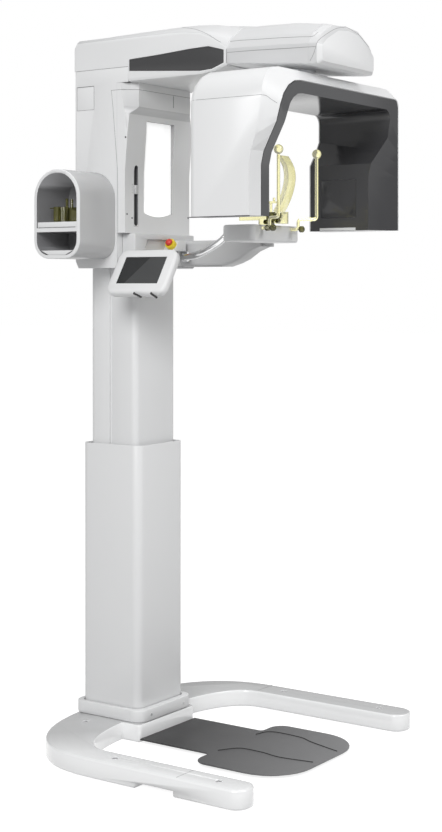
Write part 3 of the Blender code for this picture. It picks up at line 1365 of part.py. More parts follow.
def hang_on_axes(hinge_point):
    """Parents each moving piece, with its cutters, to an empty on its joint's axis."""
    bodies = dict(BODIES)
    bodies["monitor_axis"] = (tuple(hinge_point), ("monitor_housing", "monitor_screen"))
    for name, (place, members) in bodies.items():
        empty = bpy.data.objects.new(name, None)
        empty.location = place
        PARTS.objects.link(empty)
        back = Matrix.Translation(Vector(place)).inverted()
        for member in members:
            obj = bpy.data.objects[member]
            for piece in [obj, *tools_of(obj)]:
                piece.parent = empty
                piece.matrix_parent_inverse = back


def main():
    base_frame()
    footplate()
    column_parts()
    upper_column()
    cabinet_shell()
    front_panel()
    accessory_box()
    console()
    hinge_point = control_panel()
    chin_arm()
    chin_rest()
    forehead_blade()
    temple_supports()
    arm_shells()
    arm_drive()
    gantry_shell()
    gantry_liner()
    gantry_insides()
    hang_on_axes(hinge_point)
    bpy.context.view_layer.update()


main()
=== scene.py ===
import json
import math

import bmesh
import bpy
from mathutils import Matrix, Vector
from mathutils.bvhtree import BVHTree


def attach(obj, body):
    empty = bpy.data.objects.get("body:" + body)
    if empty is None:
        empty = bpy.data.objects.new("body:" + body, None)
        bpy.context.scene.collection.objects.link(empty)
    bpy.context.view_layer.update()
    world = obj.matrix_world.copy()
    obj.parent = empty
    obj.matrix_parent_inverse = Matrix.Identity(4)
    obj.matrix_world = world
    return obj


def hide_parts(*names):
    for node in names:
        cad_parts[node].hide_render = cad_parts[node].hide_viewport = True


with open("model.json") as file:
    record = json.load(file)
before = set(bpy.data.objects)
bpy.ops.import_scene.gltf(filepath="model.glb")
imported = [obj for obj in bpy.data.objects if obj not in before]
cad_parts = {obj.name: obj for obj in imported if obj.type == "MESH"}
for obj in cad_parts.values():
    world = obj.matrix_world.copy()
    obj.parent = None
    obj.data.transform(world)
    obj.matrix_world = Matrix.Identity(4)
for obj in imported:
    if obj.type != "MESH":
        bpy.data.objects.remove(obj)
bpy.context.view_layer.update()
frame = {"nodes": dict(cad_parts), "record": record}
cad = frame["nodes"]
print("frame loaded:", len(cad), "pieces")

# Camera, floor and lights

cameraSetup = {"place": (-4.205, -3.282, 1.5), "turn": -55.25, "lens": 67.46, "shift": -0.156}
studio = {
    "roomLight": 0.42,
    "reflectedRoom": 0.55,
    "floorColour": 0.88,
    "floorBounce": 0.48,
    "floorGlow": 0.82,
    "floorShade": 0.50,
    "floorHalf": 40,
    "floorDrop": 0.0004,  # clear of the feet
    "lamps": {
        "keyLamp": {"place": (-6.2, -2.6, 4.6), "aim": (0, -0.3, 1.3), "size": 3.0, "power": 285},
        "topLamp": {"place": (0.8, -0.8, 7.5), "aim": (0, -0.4, 0.6), "size": 3.5, "power": 105},
        "frontLamp": {"place": (0.8, -6.0, 4.8), "aim": (0, -0.3, 1.2), "size": 2.5, "power": 118},
    },
}


def buildCamera():
    data = bpy.data.cameras.new("photoCamera")
    data.sensor_width = 36
    data.lens = cameraSetup["lens"]
    data.shift_y = cameraSetup["shift"]
    camera = bpy.data.objects.new("photoCamera", data)
    camera.location = cameraSetup["place"]
    camera.rotation_euler = (math.radians(90), 0, math.radians(cameraSetup["turn"]))
    bpy.context.scene.collection.objects.link(camera)
    bpy.context.scene.camera = camera


def seenDirectly(tree, names):
    rays = tree.nodes.new("ShaderNodeLightPath")
    total = None
    for name in names:
        if total is None:
            total = rays.outputs[name]
            continue
        add = tree.nodes.new("ShaderNodeMath")
        add.operation = "MAXIMUM"
        tree.links.new(total, add.inputs[0])
        tree.links.new(rays.outputs[name], add.inputs[1])
        total = add.outputs[0]
    return total


def buildRoom():
    world = bpy.data.worlds.new("whiteRoom")
    world.use_nodes = True
    bpy.context.scene.world = world
    tree = world.node_tree
    tree.nodes.clear()
    out = tree.nodes.new("ShaderNodeOutputWorld")
    levels = []
    for level in (studio["roomLight"], studio["reflectedRoom"], 1):
        white = tree.nodes.new("ShaderNodeBackground")
        white.inputs["Color"].default_value = (1, 1, 1, 1)
        white.inputs["Strength"].default_value = level
        levels.append(white.outputs[0])
    result = levels[0]
    raysOf = (("Is Glossy Ray",), ("Is Camera Ray", "Is Transmission Ray"))
    for level, rays in zip(levels[1:], raysOf):
        mix = tree.nodes.new("ShaderNodeMixShader")
        tree.links.new(seenDirectly(tree, rays), mix.inputs[0])
        tree.links.new(result, mix.inputs[1])
        tree.links.new(level, mix.inputs[2])
        result = mix.outputs[0]
    tree.links.new(result, out.inputs["Surface"])


def buildFloor():
    bm = bmesh.new()
    bmesh.ops.create_grid(bm, x_segments=1, y_segments=1, size=studio["floorHalf"])
    bmesh.ops.translate(bm, verts=bm.verts, vec=(0, 0, -studio["floorDrop"]))
    mesh = bpy.data.meshes.new("studioFloor")
    bm.to_mesh(mesh)
    bm.free()
    floor = bpy.data.objects.new("studioFloor", mesh)
    bpy.context.scene.collection.objects.link(floor)
    material = bpy.data.materials.new("palePaper")
    material.use_nodes = True
    tree = material.node_tree
    shader = tree.nodes["Principled BSDF"]
    seen = seenDirectly(tree, ("Is Camera Ray", "Is Transmission Ray", "Is Glossy Ray"))
    tone = tree.nodes.new("ShaderNodeMix")
    tone.data_type = "RGBA"
    for side, level in (("A", studio["floorBounce"]), ("B", studio["floorColour"])):
        tone.inputs[side].default_value = (level, level, level, 1)
    tree.links.new(seen, tone.inputs["Factor"])
    tree.links.new(tone.outputs["Result"], shader.inputs["Base Color"])
    shader.inputs["Roughness"].default_value = 0.9
    shader.inputs["Specular IOR Level"].default_value = 0
    glow = tree.nodes.new("ShaderNodeEmission")
    glow.inputs["Strength"].default_value = studio["floorGlow"]
    shade = tree.nodes.new("ShaderNodeMixShader")
    shade.inputs[0].default_value = studio["floorShade"]
    dark = tree.nodes.new("ShaderNodeEmission")
    dark.inputs["Strength"].default_value = 0
    pale = tree.nodes.new("ShaderNodeAddShader")
    mix = tree.nodes.new("ShaderNodeMixShader")
    tree.links.new(shader.outputs[0], shade.inputs[1])
    tree.links.new(dark.outputs[0], shade.inputs[2])
    tree.links.new(shade.outputs[0], pale.inputs[0])
    tree.links.new(glow.outputs[0], pale.inputs[1])
    tree.links.new(seen, mix.inputs[0])
    tree.links.new(shader.outputs[0], mix.inputs[1])
    tree.links.new(pale.outputs[0], mix.inputs[2])
    tree.links.new(mix.outputs[0], tree.nodes["Material Output"].inputs["Surface"])
    mesh.materials.append(material)


def buildLamps():
    for name, lamp in studio["lamps"].items():
        data = bpy.data.lights.new(name, "AREA")
        data.size = lamp["size"]
        data.energy = lamp["power"]
        light = bpy.data.objects.new(name, data)
        light.location = lamp["place"]
        aim = Vector(lamp["aim"]) - Vector(lamp["place"])
        light.rotation_euler = aim.to_track_quat("-Z", "Y").to_euler()
        bpy.context.scene.collection.objects.link(light)


buildCamera()
buildRoom()
buildFloor()
buildLamps()
bpy.context.scene.view_settings.view_transform = "Standard"
print("studio ready")

# Shader groups


def newGroup(name, inputs, outputs):
    tree = bpy.data.node_groups.new(name, "ShaderNodeTree")
    for label, kind, value in inputs:
        made = tree.interface.new_socket(name=label, in_out="INPUT", socket_type=kind)
        if value is not None:
            made.default_value = value
    for label, kind in outputs:
        tree.interface.new_socket(name=label, in_out="OUTPUT", socket_type=kind)
    return tree, tree.nodes.new("NodeGroupInput"), tree.nodes.new("NodeGroupOutput")


def surfaceGrainGroup():
    tree, start, end = newGroup(
        "surfaceGrain",
        (
            ("Vector", "NodeSocketVector", None),
            ("Grain Scale", "NodeSocketFloat", 900.0),
            ("Cloud Scale", "NodeSocketFloat", 6.0),
            ("Roughness", "NodeSocketFloat", 0.35),
            ("Roughness Spread", "NodeSocketFloat", 0.05),
        ),
        (("Grain", "NodeSocketFloat"), ("Cloud", "NodeSocketFloat"), ("Roughness", "NodeSocketFloat")),
    )
    grain = tree.nodes.new("ShaderNodeTexNoise")
    cloud = tree.nodes.new("ShaderNodeTexNoise")
    for texture, scale, detail in ((grain, "Grain Scale", 2), (cloud, "Cloud Scale", 4)):
        texture.inputs["Detail"].default_value = detail
        tree.links.new(start.outputs["Vector"], texture.inputs["Vector"])
        tree.links.new(start.outputs[scale], texture.inputs["Scale"])
    centred = tree.nodes.new("ShaderNodeMath")
    centred.operation = "SUBTRACT"
    centred.inputs[1].default_value = 0.5
    rough = tree.nodes.new("ShaderNodeMath")
    rough.operation = "MULTIPLY_ADD"
    tree.links.new(cloud.outputs["Fac"], centred.inputs[0])
    tree.links.new(centred.outputs[0], rough.inputs[0])
    tree.links.new(start.outputs["Roughness Spread"], rough.inputs[1])
    tree.links.new(start.outputs["Roughness"], rough.inputs[2])
    tree.links.new(grain.outputs["Fac"], end.inputs["Grain"])
    tree.links.new(cloud.outputs["Fac"], end.inputs["Cloud"])
    tree.links.new(rough.outputs[0], end.inputs["Roughness"])
    return tree


surfaceGrain = surfaceGrainGroup()

# Finishes, one for each material slot

finishes = {
    "white_cover": {
        "colour": (0.80, 0.805, 0.81), "shift": 0.018, "roughness": 0.34, "spread": 0.10,
        "grainScale": 1400, "grainDepth": 0.00002, "cloudScale": 3.0,
    },
    # base_metal: the glow is painted light that brightens the base's sides
    "base_metal": {
        "colour": (0.87, 0.875, 0.88), "shift": 0.02, "roughness": 0.16, "spread": 0.06,
        "grainScale": 500, "grainDepth": 0.00002, "cloudScale": 3.5, "coat": 0.6, "glow": 0.06,
    },
    "column_paint": {
        "colour": (0.79, 0.795, 0.80), "shift": 0.015, "roughness": 0.38, "spread": 0.08,
        "grainScale": 800, "grainDepth": 0.00003, "cloudScale": 2.5,
    },
    # footplate_metal: the ramp is a painted reflection, the plate lighter towards the front
    "footplate_metal": {
        "colour": (0.018, 0.018, 0.019), "shift": 0.08, "roughness": 0.42, "spread": 0.12,
        "grainScale": 1500, "grainDepth": 0.00005, "cloudScale": 5.0,
        "ramp": {"along": (0.25, -1.0, 0), "start": 0.24, "end": 0.80, "colour": (0.21, 0.21, 0.215)},
    },
    "dark_insert": {
        "colour": (0.050, 0.050, 0.052), "shift": 0.06, "roughness": 0.30, "spread": 0.10,
        "grainScale": 1600, "grainDepth": 0.00003, "cloudScale": 5.0,
    },
    # dark_liner: the ramp is painted shade, the liner darker towards +x
    "dark_liner": {
        "colour": (0.090, 0.091, 0.095), "shift": 0.06, "roughness": 0.13, "spread": 0.04,
        "grainScale": 1600, "grainDepth": 0.00003, "cloudScale": 4.0,
        "ramp": {"along": (1.0, 0, 0), "start": 0.12, "end": 0.34, "colour": (0.045, 0.045, 0.048)},
    },
    "gloss_black": {
        "colour": (0.020, 0.020, 0.022), "shift": 0.05, "roughness": 0.06, "spread": 0.03,
        "grainScale": 60, "grainDepth": 0.000005, "cloudScale": 8.0,
    },
    "windowGlass": {
        "colour": (0.050, 0.050, 0.053), "shift": 0.05, "roughness": 0.10, "spread": 0.04,
        "grainScale": 60, "grainDepth": 0.000005, "cloudScale": 8.0,
    },
    # screenGlass: the split is a painted reflection
    "screenGlass": {
        "colour": (0.024, 0.025, 0.026), "shift": 0.03, "roughness": 0.16, "spread": 0.03,
        "grainScale": 60, "grainDepth": 0.000004, "cloudScale": 8.0, "split": True,
    },
    "slide_plastic": {
        "colour": (0.30, 0.30, 0.31), "shift": 0.05, "roughness": 0.45, "spread": 0.08,
        "grainScale": 1800, "grainDepth": 0.00004, "cloudScale": 12.0,
    },
    "inner_steel": {
        "colour": (0.55, 0.56, 0.58), "shift": 0.06, "roughness": 0.32, "spread": 0.10,
        "grainScale": 700, "grainDepth": 0.00003, "cloudScale": 9.0, "metal": 1,
    },
    "inner_aluminium": {
        "colour": (0.75, 0.76, 0.78), "shift": 0.05, "roughness": 0.36, "spread": 0.10,
        "grainScale": 700, "grainDepth": 0.00003, "cloudScale": 9.0, "metal": 1,
    },
    # mirror_glass: white with a glow, a painted reflection of the white room
    "mirror_glass": {
        "colour": (0.96, 0.965, 0.97), "shift": 0.01, "roughness": 0.10, "spread": 0.02,
        "grainScale": 30, "grainDepth": 0.000002, "cloudScale": 7.0, "metal": 0.2, "glow": 0.55,
    },
    # handle_chrome: the rim is a painted reflection that darkens the tube's edges
    "handle_chrome": {
        "colour": (0.93, 0.935, 0.94), "shift": 0.03, "roughness": 0.14, "spread": 0.04,
        "grainScale": 200, "grainDepth": 0.000004, "cloudScale": 20.0, "metal": 1,
        "rim": (0.10, 0.10, 0.105), "rimBlend": 0.38,
    },
    # clear_yellow: the glow is painted light and the rim a painted reflection at the edges
    "clear_yellow": {
        "colour": (0.95, 0.90, 0.46), "shift": 0.03, "roughness": 0.06, "spread": 0.04,
        "grainScale": 250, "grainDepth": 0.00001, "cloudScale": 14.0, "clear": 0.90, "glow": 0.10,
        "rim": (0.20, 0.18, 0.03), "rimBlend": 0.42,
    },
    # clear_olive: the rim is a painted reflection that darkens the edges
    "clear_olive": {
        "colour": (0.24, 0.23, 0.07), "shift": 0.06, "roughness": 0.10, "spread": 0.05,
        "grainScale": 250, "grainDepth": 0.00001, "cloudScale": 14.0, "clear": 0.55,
        "rim": (0.03, 0.03, 0.008), "rimBlend": 0.45,
    },
    "stop_yellow": {
        "colour": (0.80, 0.62, 0.03), "shift": 0.04, "roughness": 0.38, "spread": 0.06,
        "grainScale": 1500, "grainDepth": 0.00002, "cloudScale": 20.0,
    },
    "stop_red": {
        "colour": (0.68, 0.05, 0.035), "shift": 0.04, "roughness": 0.34, "spread": 0.06,
        "grainScale": 1500, "grainDepth": 0.00002, "cloudScale": 20.0,
    },
    "belt_rubber": {
        "colour": (0.03, 0.03, 0.03), "shift": 0.10, "roughness": 0.80, "spread": 0.08,
        "grainScale": 900, "grainDepth": 0.00005, "cloudScale": 12.0,
    },
    # Painted shade: the inside of the accessory case is dark grey
    "caseInsideShade": {
        "colour": (0.30, 0.30, 0.31), "shift": 0.05, "roughness": 0.42, "spread": 0.08,
        "grainScale": 1600, "grainDepth": 0.00003, "cloudScale": 6.0,
    },
    # Painted shade: the case's outer walls are grey
    "caseOutsideShade": {
        "colour": (0.56, 0.562, 0.568), "shift": 0.03, "roughness": 0.24, "spread": 0.08,
        "grainScale": 1400, "grainDepth": 0.00002, "cloudScale": 5.0,
    },
    # baseShade: painted shade, the base's top faces darker towards the rear and the right
    "baseShade": {
        "colour": (0.87, 0.875, 0.88), "shift": 0.02, "roughness": 0.16, "spread": 0.06,
        "grainScale": 500, "grainDepth": 0.00002, "cloudScale": 3.5, "coat": 0.3,
        "ramp": {"along": (1.0, 1.0, 0), "start": -0.66, "end": -0.36, "colour": (0.55, 0.553, 0.558)},
    },
    "shadeGrey": {
        "colour": (0.34, 0.34, 0.345), "shift": 0.03, "roughness": 0.45, "spread": 0.08,
        "grainScale": 1600, "grainDepth": 0.00003, "cloudScale": 4.0,
    },
    # Dark seams and screws, and painted shade inside the light slot and in gaps
    "darkSeamAndShade": {
        "colour": (0.10, 0.10, 0.105), "shift": 0.05, "roughness": 0.60, "spread": 0.05,
        "grainScale": 900, "grainDepth": 0.00002, "cloudScale": 12.0,
    },
    "greySeam": {
        "colour": (0.27, 0.27, 0.275), "shift": 0.03, "roughness": 0.50, "spread": 0.05,
        "grainScale": 900, "grainDepth": 0.00002, "cloudScale": 12.0,
    },
    "screwSteel": {
        "colour": (0.62, 0.62, 0.63), "shift": 0.05, "roughness": 0.28, "spread": 0.08,
        "grainScale": 900, "grainDepth": 0.00002, "cloudScale": 40.0, "metal": 1,
    },
}

# The white cover again, darker: painted shade for faces that lie in shade

coverShades = {
    "sideShade": {"colour": (0.63, 0.634, 0.64), "roughness": 0.34},
    "topShade": {"colour": (0.66, 0.664, 0.67), "roughness": 0.40},
    "coverShade": {"colour": (0.68, 0.684, 0.69), "roughness": 0.38},
    "lowShade": {"colour": (0.53, 0.533, 0.538), "roughness": 0.38},
}
for name, look in coverShades.items():
    finishes[name] = {**finishes["white_cover"], **look}


def shaded(colour, factor):
    return (*(min(1, level * factor) for level in colour), 1)


def mixColour(tree, factor, first, second):
    mix = tree.nodes.new("ShaderNodeMix")
    mix.data_type = "RGBA"
    tree.links.new(factor, mix.inputs["Factor"])
    tree.links.new(first, mix.inputs["A"])
    mix.inputs["B"].default_value = (*second, 1)
    return mix.outputs["Result"]


def distanceAlong(tree, place, direction):
    dot = tree.nodes.new("ShaderNodeVectorMath")
    dot.operation = "DOT_PRODUCT"
    tree.links.new(place.outputs["Object"], dot.inputs[0])
    dot.inputs[1].default_value = direction
    return dot.outputs["Value"]


def rampColour(tree, place, colour, ramp):
    span = tree.nodes.new("ShaderNodeMapRange")
    tree.links.new(distanceAlong(tree, place, ramp["along"]), span.inputs["Value"])
    span.inputs["From Min"].default_value = ramp["start"]
    span.inputs["From Max"].default_value = ramp["end"]
    return mixColour(tree, span.outputs["Result"], colour, ramp["colour"])


# The screen has a painted reflection: it is lighter right of a slanting line

screenGlare = {"direction": (-0.3050, -0.8243, -0.4769), "level": -0.5080, "colour": (0.058, 0.060, 0.061)}


def splitColour(tree, place, colour):
    side = tree.nodes.new("ShaderNodeMath")
    side.operation = "GREATER_THAN"
    tree.links.new(distanceAlong(tree, place, screenGlare["direction"]), side.inputs[0])
    side.inputs[1].default_value = screenGlare["level"]
    return mixColour(tree, side.outputs[0], colour, screenGlare["colour"])


# Painted reflection: the colour turns to the rim colour where a face is seen edge-on
def rimColour(tree, colour, look):
    facing = tree.nodes.new("ShaderNodeLayerWeight")
    facing.inputs["Blend"].default_value = look["rimBlend"]
    return mixColour(tree, facing.outputs["Facing"], colour, look["rim"])


def buildFinish(name, look):
    material = bpy.data.materials.new(name)
    material.use_nodes = True
    tree = material.node_tree
    shader = tree.nodes["Principled BSDF"]
    place = tree.nodes.new("ShaderNodeTexCoord")
    grain = tree.nodes.new("ShaderNodeGroup")
    grain.node_tree = surfaceGrain
    grain.inputs["Grain Scale"].default_value = look["grainScale"]
    grain.inputs["Cloud Scale"].default_value = look["cloudScale"]
    grain.inputs["Roughness"].default_value = look["roughness"]
    grain.inputs["Roughness Spread"].default_value = look["spread"]
    tone = tree.nodes.new("ShaderNodeMix")
    tone.data_type = "RGBA"
    tone.inputs["A"].default_value = shaded(look["colour"], 1 - look["shift"])
    tone.inputs["B"].default_value = shaded(look["colour"], 1 + look["shift"])
    bump = tree.nodes.new("ShaderNodeBump")
    bump.inputs["Distance"].default_value = look["grainDepth"]
    tree.links.new(place.outputs["Object"], grain.inputs["Vector"])
    tree.links.new(grain.outputs["Cloud"], tone.inputs["Factor"])
    colour = tone.outputs["Result"]
    if "ramp" in look:
        colour = rampColour(tree, place, colour, look["ramp"])
    if "split" in look:
        colour = splitColour(tree, place, colour)
    if "rim" in look:
        colour = rimColour(tree, colour, look)
    tree.links.new(colour, shader.inputs["Base Color"])
    tree.links.new(grain.outputs["Roughness"], shader.inputs["Roughness"])
    tree.links.new(grain.outputs["Grain"], bump.inputs["Height"])
    tree.links.new(bump.outputs["Normal"], shader.inputs["Normal"])
    shader.inputs["Metallic"].default_value = look.get("metal", 0)
    shader.inputs["Coat Weight"].default_value = look.get("coat", 0)
    shader.inputs["Transmission Weight"].default_value = look.get("clear", 0)
    shader.inputs["Emission Color"].default_value = (1, 1, 1, 1)
    shader.inputs["Emission Strength"].default_value = look.get("glow", 0)
    return material


materials = {name: buildFinish(name, look) for name, look in finishes.items()}
print("finishes ready:", len(materials))

# Helpers for pieces


def bodyOf(node):
    for body, members in frame["record"]["behaviour"]["bodies"].items():
        if node in members:
            return body


def finishPiece(name, bm, body, finish, replaces=(), angle=35, others=()):
    mesh = bpy.data.meshes.new(name)
    bm.to_mesh(mesh)
    bm.free()
    for polygon in mesh.polygons:
        polygon.use_smooth = True
    mesh.set_sharp_from_angle(angle=math.radians(angle))
    for each in (finish, *others):
        mesh.materials.append(materials[each])
    piece = bpy.data.objects.new(name, mesh)
    bpy.context.scene.collection.objects.link(piece)
    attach(piece, body)
    if replaces:
        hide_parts(*replaces)
    return piece


slotOf = {row["node"]: row["material_slot"] for row in frame["record"]["subparts"]}


# A CAD piece comes as loose triangles, so its copy is merged and its flat faces joined

cleaning = {"mergeWithin": 0.00002, "flatWithin": 0.8}


def mergedCopy(node):
    bm = bmesh.new()
    bm.from_mesh(cad[node].data)
    bmesh.ops.remove_doubles(bm, verts=bm.verts, dist=cleaning["mergeWithin"])
    flat = math.radians(cleaning["flatWithin"])
    bmesh.ops.dissolve_limit(bm, angle_limit=flat, verts=bm.verts, edges=bm.edges)
    return bm


def softenEdges(bm, width, segments=2, angle=40):
    sharp = math.radians(angle)
    edges = [edge for edge in bm.edges if edge.is_manifold and edge.calc_face_angle() > sharp]
    bmesh.ops.bevel(
        bm, geom=edges, offset=width, offset_type="OFFSET", affect="EDGES",
        segments=segments, profile=0.5, clamp_overlap=True, material=-1,
    )


def dress(node, name, soften=None, angle=35, finish=None, parts=()):
    bm = mergedCopy(node)
    if soften:
        softenEdges(bm, **soften)
    bm.normal_update()
    for index, (_, isPart) in enumerate(parts):
        for face in bm.faces:
            if isPart(face.calc_center_median(), face.normal):
                face.material_index = index + 1
    slot = slotOf[node]
    others = [partFinish for partFinish, _ in parts]
    return finishPiece(name, bm, bodyOf(node), finish or slot, (node,), angle, others)


# Faces that get a finish of their own: each test takes a face's middle and its direction

lightSlot = {"x": (-0.1311, -0.1109), "y": (-0.1055, -0.080), "z": (1.698, 1.902)}
mirrorHole = {"x": (-0.0795, 0.0795), "z": (1.72, 2.055), "front": -0.125}
visor = {"z": (2.066, 2.092)}
console = {"x": (-0.095, 0.086), "y": (-0.126, -0.116), "z": (1.58, 1.66)}
baseEdge = 0.045
armShoulder = 2.2
caseOpening = {
    "middle": 0.0305, "half": 0.0965, "archCentre": 1.7825, "bottom": 1.589,
    "cornerCentre": 1.649, "cornerOut": 0.0365, "cornerRadius": 0.060,
    "rim": 0.006, "cavityFront": -0.360, "outsideShadeFront": -0.3595,
}


def between(value, limits):
    return limits[0] < value < limits[1]


# Painted shade: the inside of the light slot is dark
def inLightSlot(place, normal):
    return all(between(value, lightSlot[axis]) for axis, value in zip("xyz", place))


# Painted shade on the mirror's reveal
def mirrorReveal(place, normal):
    inHole = between(place.x, mirrorHole["x"]) and between(place.z, mirrorHole["z"])
    return inHole and abs(normal.y) < 0.5 and place.y > mirrorHole["front"]


def intoCase(place):
    side = abs(place.y - caseOpening["middle"])
    if place.z > caseOpening["archCentre"]:
        return caseOpening["half"] - math.hypot(side, place.z - caseOpening["archCentre"])
    if place.z < caseOpening["cornerCentre"] and side > caseOpening["cornerOut"]:
        out, down = side - caseOpening["cornerOut"], caseOpening["cornerCentre"] - place.z
        return caseOpening["cornerRadius"] - math.hypot(out, down)
    return min(caseOpening["half"] - side, place.z - caseOpening["bottom"])


# Faces inside the case's opening, which get painted shade
def caseCavity(place, normal):
    onFront = normal.x < -0.7 and place.x < caseOpening["cavityFront"]
    return intoCase(place) > caseOpening["rim"] and not onFront


# The case's outer walls behind its front, which get painted shade
def caseOutside(place, normal):
    behindFront = place.x > caseOpening["outsideShadeFront"]
    return intoCase(place) < caseOpening["rim"] and behindFront and abs(normal.x) < 0.5


# The base's top faces, which get painted shade
def baseTop(place, normal):
    return normal.z > 0.9 and place.z > baseEdge


# The arm, cabinet and visor tests pick faces that get painted shade
def armSide(place, normal):
    return abs(normal.x) > 0.75 and normal.z < 0.35


def armTop(place, normal):
    return normal.z > 0.3 and place.z > armShoulder


def cabinetShade(place, normal):
    return abs(normal.x) > 0.3 and normal.y < -0.3


def visorBand(place, normal):
    return between(place.z, visor["z"]) and normal.y < -0.2


# Painted shade on the walls of the console's recess
def consoleRecess(place, normal):
    inside = all(between(value, console[axis]) for axis, value in zip("xyz", place))
    return inside and abs(normal.y) < 0.5


# Every CAD piece gets its finish

for node, obj in cad.items():
    obj.data.materials.clear()
    obj.data.materials.append(materials[slotOf[node]])
print("CAD pieces painted")

dressed = {
    "base_frame": {"name": "baseCasting", "parts": (("baseShade", baseTop),)},
    "footplate": {"name": "footPlateTop"},
    "collar_front": {"name": "collarFront"},
    "collar_rear": {"name": "collarRear"},
    "lower_column": {"name": "lowerColumnTube", "soften": {"width": 0.0012}},
    "upper_column": {"name": "upperColumnTube", "soften": {"width": 0.0010}},
    "cabinet_shell": {
        "name": "cabinetShell", "soften": {"width": 0.003}, "parts": (("coverShade", cabinetShade),),
    },
    "cabinet_front_panel": {
        "name": "cabinetPanel", "soften": {"width": 0.0012, "angle": 60}, "angle": 15,
        "parts": (
            ("darkSeamAndShade", inLightSlot), ("shadeGrey", mirrorReveal),
            ("coverShade", cabinetShade), ("sideShade", visorBand),
        ),
    },
    "access_cover": {"name": "accessCover", "soften": {"width": 0.0006}},
    "mirror": {"name": "mirrorGlass", "soften": {"width": 0.0008}},
    "laser_knob": {"name": "laserKnob", "finish": "sideShade"},
    "accessory_box": {
        "name": "accessoryCase", "parts": (("caseInsideShade", caseCavity), ("caseOutsideShade", caseOutside)),
    },
    "upper_tray": {"name": "upperTray", "soften": {"width": 0.001}},
    "lower_tray": {"name": "lowerTray", "soften": {"width": 0.001}},
    "spare_bite_holder": {"name": "biteHolder", "soften": {"width": 0.0006}},
    "spare_chin_cup": {"name": "spareChinCup", "soften": {"width": 0.001}},
    "console_box": {
        "name": "consoleBox", "soften": {"width": 0.001}, "finish": "coverShade",
        "parts": (("shadeGrey", consoleRecess),),
    },
    "estop_collar": {"name": "stopCollar", "soften": {"width": 0.001}},
    "estop_button": {"name": "stopButton", "soften": {"width": 0.0008}},
    "monitor_bracket": {"name": "panelBracket", "soften": {"width": 0.001}},
    "monitor_housing": {"name": "panelHousing"},
    "monitor_screen": {"name": "panelScreen", "finish": "screenGlass"},
    "chin_arm": {"name": "chinArm", "finish": "lowShade"},
    "chin_table": {"name": "chinTable"},
    "grab_handle": {"name": "grabHandle", "angle": 75},
    "chin_rest": {"name": "chinRest", "soften": {"width": 0.0008}},
    "bite_piece": {"name": "bitePiece", "soften": {"width": 0.0006}},
    "forehead_blade": {"name": "foreheadBlade", "soften": {"width": 0.0006}},
    "temple_rod_left": {"name": "templeRodLeft"},
    "temple_rod_right": {"name": "templeRodRight"},
    "temple_pad_left": {"name": "templePadLeft"},
    "temple_pad_right": {"name": "templePadRight"},
    "temple_knob_left": {"name": "templeKnobLeft", "soften": {"width": 0.0008}},
    "temple_knob_right": {"name": "templeKnobRight", "soften": {"width": 0.0008}},
    "arm_shell": {"name": "armShell", "angle": 30, "parts": (("topShade", armTop),)},
    "arm_front_shell": {
        "name": "armFrontShell", "angle": 30, "parts": (("sideShade", armSide), ("topShade", armTop)),
    },
    "arm_nose_cap": {
        "name": "armNoseCap", "angle": 30, "parts": (("sideShade", armSide), ("topShade", armTop)),
    },
    "arm_insert_left": {"name": "armInsertLeft", "soften": {"width": 0.0008}},
    "arm_insert_right": {"name": "armInsertRight", "soften": {"width": 0.0008}},
    "gantry_shell": {"name": "gantryShell", "angle": 30},
    "gantry_liner": {"name": "gantryLiner", "angle": 30},
    "left_unit_floor": {"name": "leftUnitFloor"},
    "right_unit_floor": {"name": "rightUnitFloor"},
    "sensor_window": {"name": "sensorWindow", "soften": {"width": 0.0005}, "finish": "windowGlass"},
}

for node, how in dressed.items():
    dress(node, **how)
print("pieces dressed:", len(dressed))

# Thin lines, screws and small blocks

tubeMergeWithin = 0.00001
screwHead = {  # shares of the radius, and of the height for the socket
    "sides": 24, "chamfer": 0.18, "crown": 0.12, "socketEdge": 0.32, "socketDepth": 0.7,
}


def tube(name, lines, width, body, finish):
    data = bpy.data.curves.new(name + "Path", "CURVE")
    data.dimensions = "3D"
    data.bevel_depth = width / 2
    data.bevel_resolution = 2
    data.use_fill_caps = True
    for points in lines:
        spline = data.splines.new("POLY")
        spline.points.add(len(points) - 1)
        for point, place in zip(spline.points, points):
            point.co = (*place, 1)
    path = bpy.data.objects.new(name + "Path", data)
    bpy.context.scene.collection.objects.link(path)
    graph = bpy.context.evaluated_depsgraph_get()
    mesh = bpy.data.meshes.new_from_object(path.evaluated_get(graph))
    bm = bmesh.new()
    bm.from_mesh(mesh)
    bmesh.ops.remove_doubles(bm, verts=bm.verts, dist=tubeMergeWithin)
    bmesh.ops.recalc_face_normals(bm, faces=bm.faces)
    bpy.data.objects.remove(path)
    return finishPiece(name, bm, body, finish)


# A smooth curve through all the points, with one more point added past each end to steer it


def smoothLine(points, steps=8):
    ends = [Vector(points[0]) * 2 - Vector(points[1])] + [Vector(point) for point in points]
    ends.append(Vector(points[-1]) * 2 - Vector(points[-2]))
    line = []
    for a, b, c, d in zip(ends, ends[1:], ends[2:], ends[3:]):
        slope, bend, twist = c - a, 2 * a - 5 * b + 4 * c - d, 3 * b - a - 3 * c + d
        for step in range(steps):
            t = step / steps
            line.append((2 * b + slope * t + bend * t**2 + twist * t**3) / 2)
    return line + [ends[-2]]


def surfaceOf(node):
    mesh = cad[node].data
    corners = [vertex.co for vertex in mesh.vertices]
    return BVHTree.FromPolygons(corners, [polygon.vertices[:] for polygon in mesh.polygons])


def laidOn(nodes, lines):
    surfaces = [surfaceOf(node) for node in nodes]
    laid = []
    for points in lines:
        hits = [[surface.find_nearest(place) for surface in surfaces] for place in smoothLine(points)]
        laid.append([min(found, key=lambda hit: hit[3])[0] for found in hits])  # hit[3] is the distance
    return laid


def bothSides(lines):
    return lines + [[(-x, y, z) for x, y, z in line] for line in lines]


# A screw head or knob: chamfered top, with a socket sunk into it


